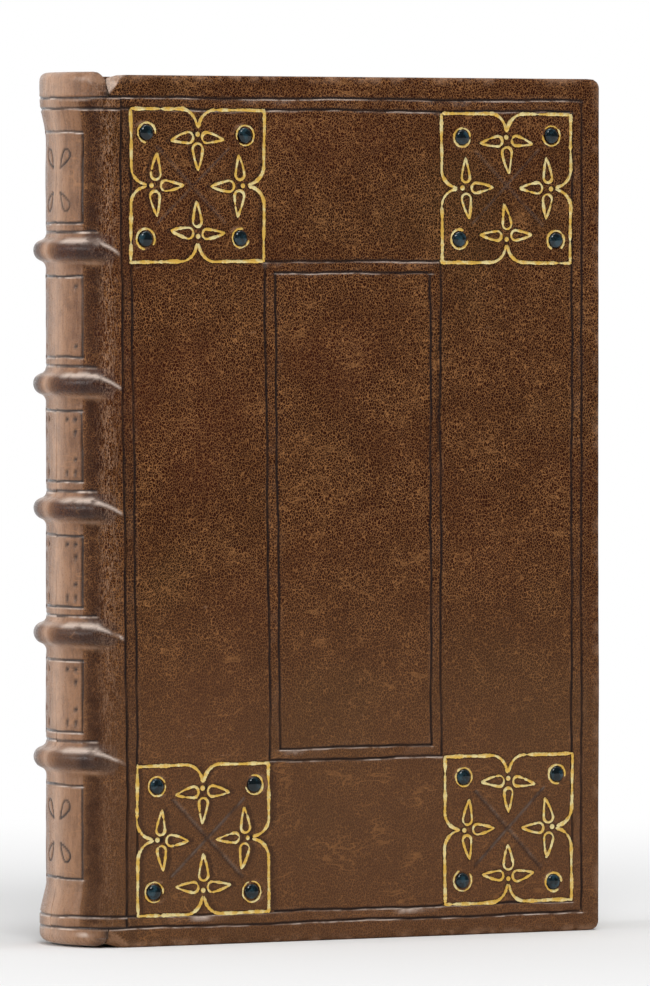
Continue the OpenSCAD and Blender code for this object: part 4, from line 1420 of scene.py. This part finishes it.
class BOOK_OT_endbands(bpy.types.Operator):
    """Wind the endbands at head and tail"""

    bl_idname = "book.endbands"
    bl_label = "Wind the endbands"
    bl_options = {"REGISTER", "UNDO"}

    def execute(self, context):
        finish = context.scene.book_finish
        turns = context.scene.book_sizes.thread_turns
        thread = material("silk_thread", thread_material, finish)
        core_r = 1.2
        arc_r = SPINE_R + CAP_FLARE - CAP_WALL - 0.1 - ENDBAND_R
        half_angle = math.asin(ENDBAND_HALF_W / (arc_r + ENDBAND_R))
        for name, end_z, up in (("tail_endband", SQUARE, -1), ("head_endband", BOOK_H - SQUARE, 1)):
            band = grid_piece(f"{name}_winding", np.linspace(0, 1, turns * 8 + 1), np.linspace(0, 1, 17))
            along = get_values(band, "along")
            section = get_values(band, "up")
            phase = along * turns + section
            closing = np.clip(np.minimum(along, 1 - along) * turns, 0, 1) ** 0.5
            r = core_r * (0.9 + 0.1 * np.abs(np.sin(math.pi * phase))) * np.maximum(closing, 0.02)
            angle = (2 * along - 1) * half_angle
            lift = np.clip(r * np.sin(2 * math.pi * section), -0.95, None) + 0.98
            radius = arc_r + r * np.cos(2 * math.pi * section)
            x = JOINT_X + SPINE_CENTRE - radius * np.cos(angle)
            y = MIDDLE_Y + radius * np.sin(angle)
            set_places(band, np.stack([x, y, end_z + up * lift], 1))
            set_values(band, "turn", ((np.floor(phase) // 2) % 2))
            merge_doubles(band, 0.05)
            with editing(band):
                bpy.ops.mesh.fill_holes(sides=0)
            face_outwards(band)
            smooth(band, 60)
            finish_piece(band, thread)
            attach(band, "text_block")
            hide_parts(name)
        return {"FINISHED"}


class BOOK_OT_inner_joints(bpy.types.Operator):
    """Line both inner joints with folded paper"""

    bl_idname = "book.inner_joints"
    bl_label = "Line the inner joints"
    bl_options = {"REGISTER", "UNDO"}

    def execute(self, context):
        paper = endpaper(context.scene.book_finish)
        fold = [(0.06, 3.75), (0.06, 2.6), (0.06, 1.4), (0.09, 1.05), (0.15, 0.95)]
        fold += [(0.21, 1.05), (0.24, 1.4), (0.24, 2.6), (0.24, 3.75)]
        fold = np.array(fold)
        up = np.linspace(SQUARE + 0.2, BOOK_H - SQUARE - 0.2, 40)
        for side, face_y, inwards in (("front", FRONT_Y, 1), ("back", BACK_Y, -1)):
            strip = grid_piece(f"{side}_joint_paper", np.arange(len(fold)), up)
            x, depth = fold[get_values(strip, "along").astype(int)].T
            z = get_values(strip, "up")
            set_places(strip, np.stack([JOINT_X + x, face_y + inwards * depth, z], 1))
            if inwards > 0:
                flip(strip)
            thicken(strip, 0.04)
            smooth(strip, 60)
            finish_piece(strip, paper)
            (JOINT_X + 0.08) * MM
            face_y * MM
            (JOINT_X + 0.22) * MM
            face_y * MM
            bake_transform(strip)
        return {"FINISHED"}


class BOOK_OT_inside(bpy.types.Operator):
    """Finish the boards, endpapers, lining and cords"""

    bl_idname = "book.inside"
    bl_label = "Finish the inside"
    bl_options = {"REGISTER", "UNDO"}

    def execute(self, context):
        paper = endpaper(context.scene.book_finish)
        board = sheet_material("pasteboard", tint("8d7a5c"), tint("5f4f38"), 700.0)
        lining = sheet_material("spine_lining", tint("b9a27c"), tint("7d6746"), 1300.0)
        hemp = sheet_material("hemp_cord", tint("a08a64"), tint("6b5636"), 1600.0)
        finishes = {"front_pastedown": paper, "back_pastedown": paper, "front_board": board}
        finishes.update({"back_board": board, "spine_lining": lining})
        finishes.update({f"sewing_cord_{i}": hemp for i in range(1, len(BAND_Z) + 1)})
        for name, chosen in finishes.items():
            obj = frame["nodes"][name]
            for slot in obj.material_slots:
                slot.material = chosen
            if not obj.material_slots:
                obj.data.materials.append(chosen)
        return {"FINISHED"}


def light_path(tree, *kinds):
    """1 for the rays of these kinds, and 0 for all others."""
    path = tree.nodes.new("ShaderNodeLightPath")
    found = Value(tree, path.outputs[f"Is {kinds[0]} Ray"])
    for kind in kinds[1:]:
        found = found.maths("MAXIMUM", Value(tree, path.outputs[f"Is {kind} Ray"]))
    return found


class BOOK_OT_stage(bpy.types.Operator):
    """Set up the floor, the soft lights and the camera"""

    bl_idname = "book.stage"
    bl_label = "Set the stage"
    bl_options = {"REGISTER", "UNDO"}

    def execute(self, context):
        scene = context.scene
        scene.view_settings.view_transform = "Standard"
        select_only()
        bpy.ops.mesh.primitive_plane_add(size=12)
        floor = name_piece(bpy.context.object, "stage_floor")
        floor.data.materials.append(self.floor_material())
        self.world(scene)
        for name, (place, size, power) in LAMPS.items():
            self.lamp(name, place, size, power)
        camera = bpy.data.cameras.new("camera")
        camera.lens = CAMERA_LENS
        camera.sensor_fit = "VERTICAL"
        camera.sensor_height = 36
        camera.clip_end = 40
        holder = bpy.data.objects.new("camera", camera)
        scene.collection.objects.link(holder)
        holder.location = CAMERA_PLACE
        holder.rotation_euler = (math.radians(90 - CAMERA_DOWN), 0, math.radians(CAMERA_TURN))
        scene.camera = holder
        return {"FINISHED"}

    def lamp(self, name, place, size, power):
        """A round soft light that looks at the book."""
        light = bpy.data.lights.new(name, "AREA")
        light.shape = "DISK"
        light.size = size
        light.energy = power
        holder = bpy.data.objects.new(name, light)
        bpy.context.scene.collection.objects.link(holder)
        holder.location = place
        away = holder.location - Vector(LAMP_TARGET)
        holder.rotation_euler = away.to_track_quat("Z", "Y").to_euler()

    def world(self, scene):
        """Even light all round, and a white room in front for what shines."""
        world = bpy.data.worlds.new("studio")
        scene.world = world
        world.use_nodes = True
        tree = world.node_tree
        background = tree.nodes["Background"]
        background.inputs["Color"].default_value = (1, 1, 1, 1)
        way = node(tree, "ShaderNodeTexCoord", {}, "Generated")
        ahead = node(tree, "ShaderNodeSeparateXYZ", {"Vector": way}, "Y")
        level = node(tree, "ShaderNodeSeparateXYZ", {"Vector": way}, "Z")
        shown = (ahead + abs(level) * 0.6).ramp(-0.15, 0.6, 0.1, 1.0)
        shown = shown.maths("MAXIMUM", light_path(tree, "Camera"))
        seen = light_path(tree, "Camera", "Glossy", "Transmission")
        mixed = node(tree, "ShaderNodeMix", {0: seen, 2: AMBIENT, 3: shown}, 0, data_type="FLOAT")
        put(background.inputs["Strength"], mixed)

    def floor_material(self):
        """A pale floor that goes over to plain white away from the book."""
        floor = Surface("pale_floor")
        tree = floor.tree
        floor.constant("Base Color", (0.86, 0.86, 0.86, 1))
        floor.constant("Roughness", 0.9)
        place = floor.node("ShaderNodeTexCoord", {}, "Object")
        away = floor.node("ShaderNodeVectorMath", {0: place}, "Value", operation="LENGTH")
        share = away.ramp(0.1, 0.5) * light_path(tree, "Camera", "Glossy", "Transmission")
        white = floor.node("ShaderNodeEmission", {"Color": (1, 1, 1, 1), "Strength": 1.0})
        plain = Value(tree, floor.shader.outputs[0])
        mixed = floor.node("ShaderNodeMixShader", {0: share, 1: plain, 2: white})
        put(tree.nodes["Material Output"].inputs["Surface"], mixed)
        return floor.material


class BOOK_PT_panel(bpy.types.Panel):
    """The book's settings and the steps that make it"""

    bl_idname = "BOOK_PT_panel"
    bl_label = "Antique leather book"
    bl_space_type = "VIEW_3D"
    bl_region_type = "UI"
    bl_category = "Book"

    def draw(self, context):
        layout = self.layout
        for group in (context.scene.book_sizes, context.scene.book_finish):
            box = layout.box()
            for name in group.bl_rna.properties.keys():
                if name not in ("rna_type", "name"):
                    box.prop(group, name)
        for operator in STEPS:
            layout.operator(operator.bl_idname)


STEPS = [
    BOOK_OT_stage,
    BOOK_OT_covers,
    BOOK_OT_spine,
    BOOK_OT_gilding,
    BOOK_OT_stones,
    BOOK_OT_leaves,
    BOOK_OT_endbands,
    BOOK_OT_inner_joints,
    BOOK_OT_inside,
]
CLASSES = [BookSizes, BookFinish, *STEPS, BOOK_PT_panel]


def register():
    for cls in CLASSES:
        bpy.utils.register_class(cls)
    bpy.types.Scene.book_sizes = PointerProperty(type=BookSizes)
    bpy.types.Scene.book_finish = PointerProperty(type=BookFinish)


def unregister():
    del bpy.types.Scene.book_sizes
    del bpy.types.Scene.book_finish
    for cls in reversed(CLASSES):
        bpy.utils.unregister_class(cls)


def main():
    register()
    bpy.ops.book.stage()
    bpy.ops.book.covers()
    bpy.ops.book.spine()
    bpy.ops.book.gilding()
    bpy.ops.book.stones()
    bpy.ops.book.leaves()
    bpy.ops.book.endbands()
    bpy.ops.book.inner_joints()
    bpy.ops.book.inside()


if __name__ == "__main__":
    main()
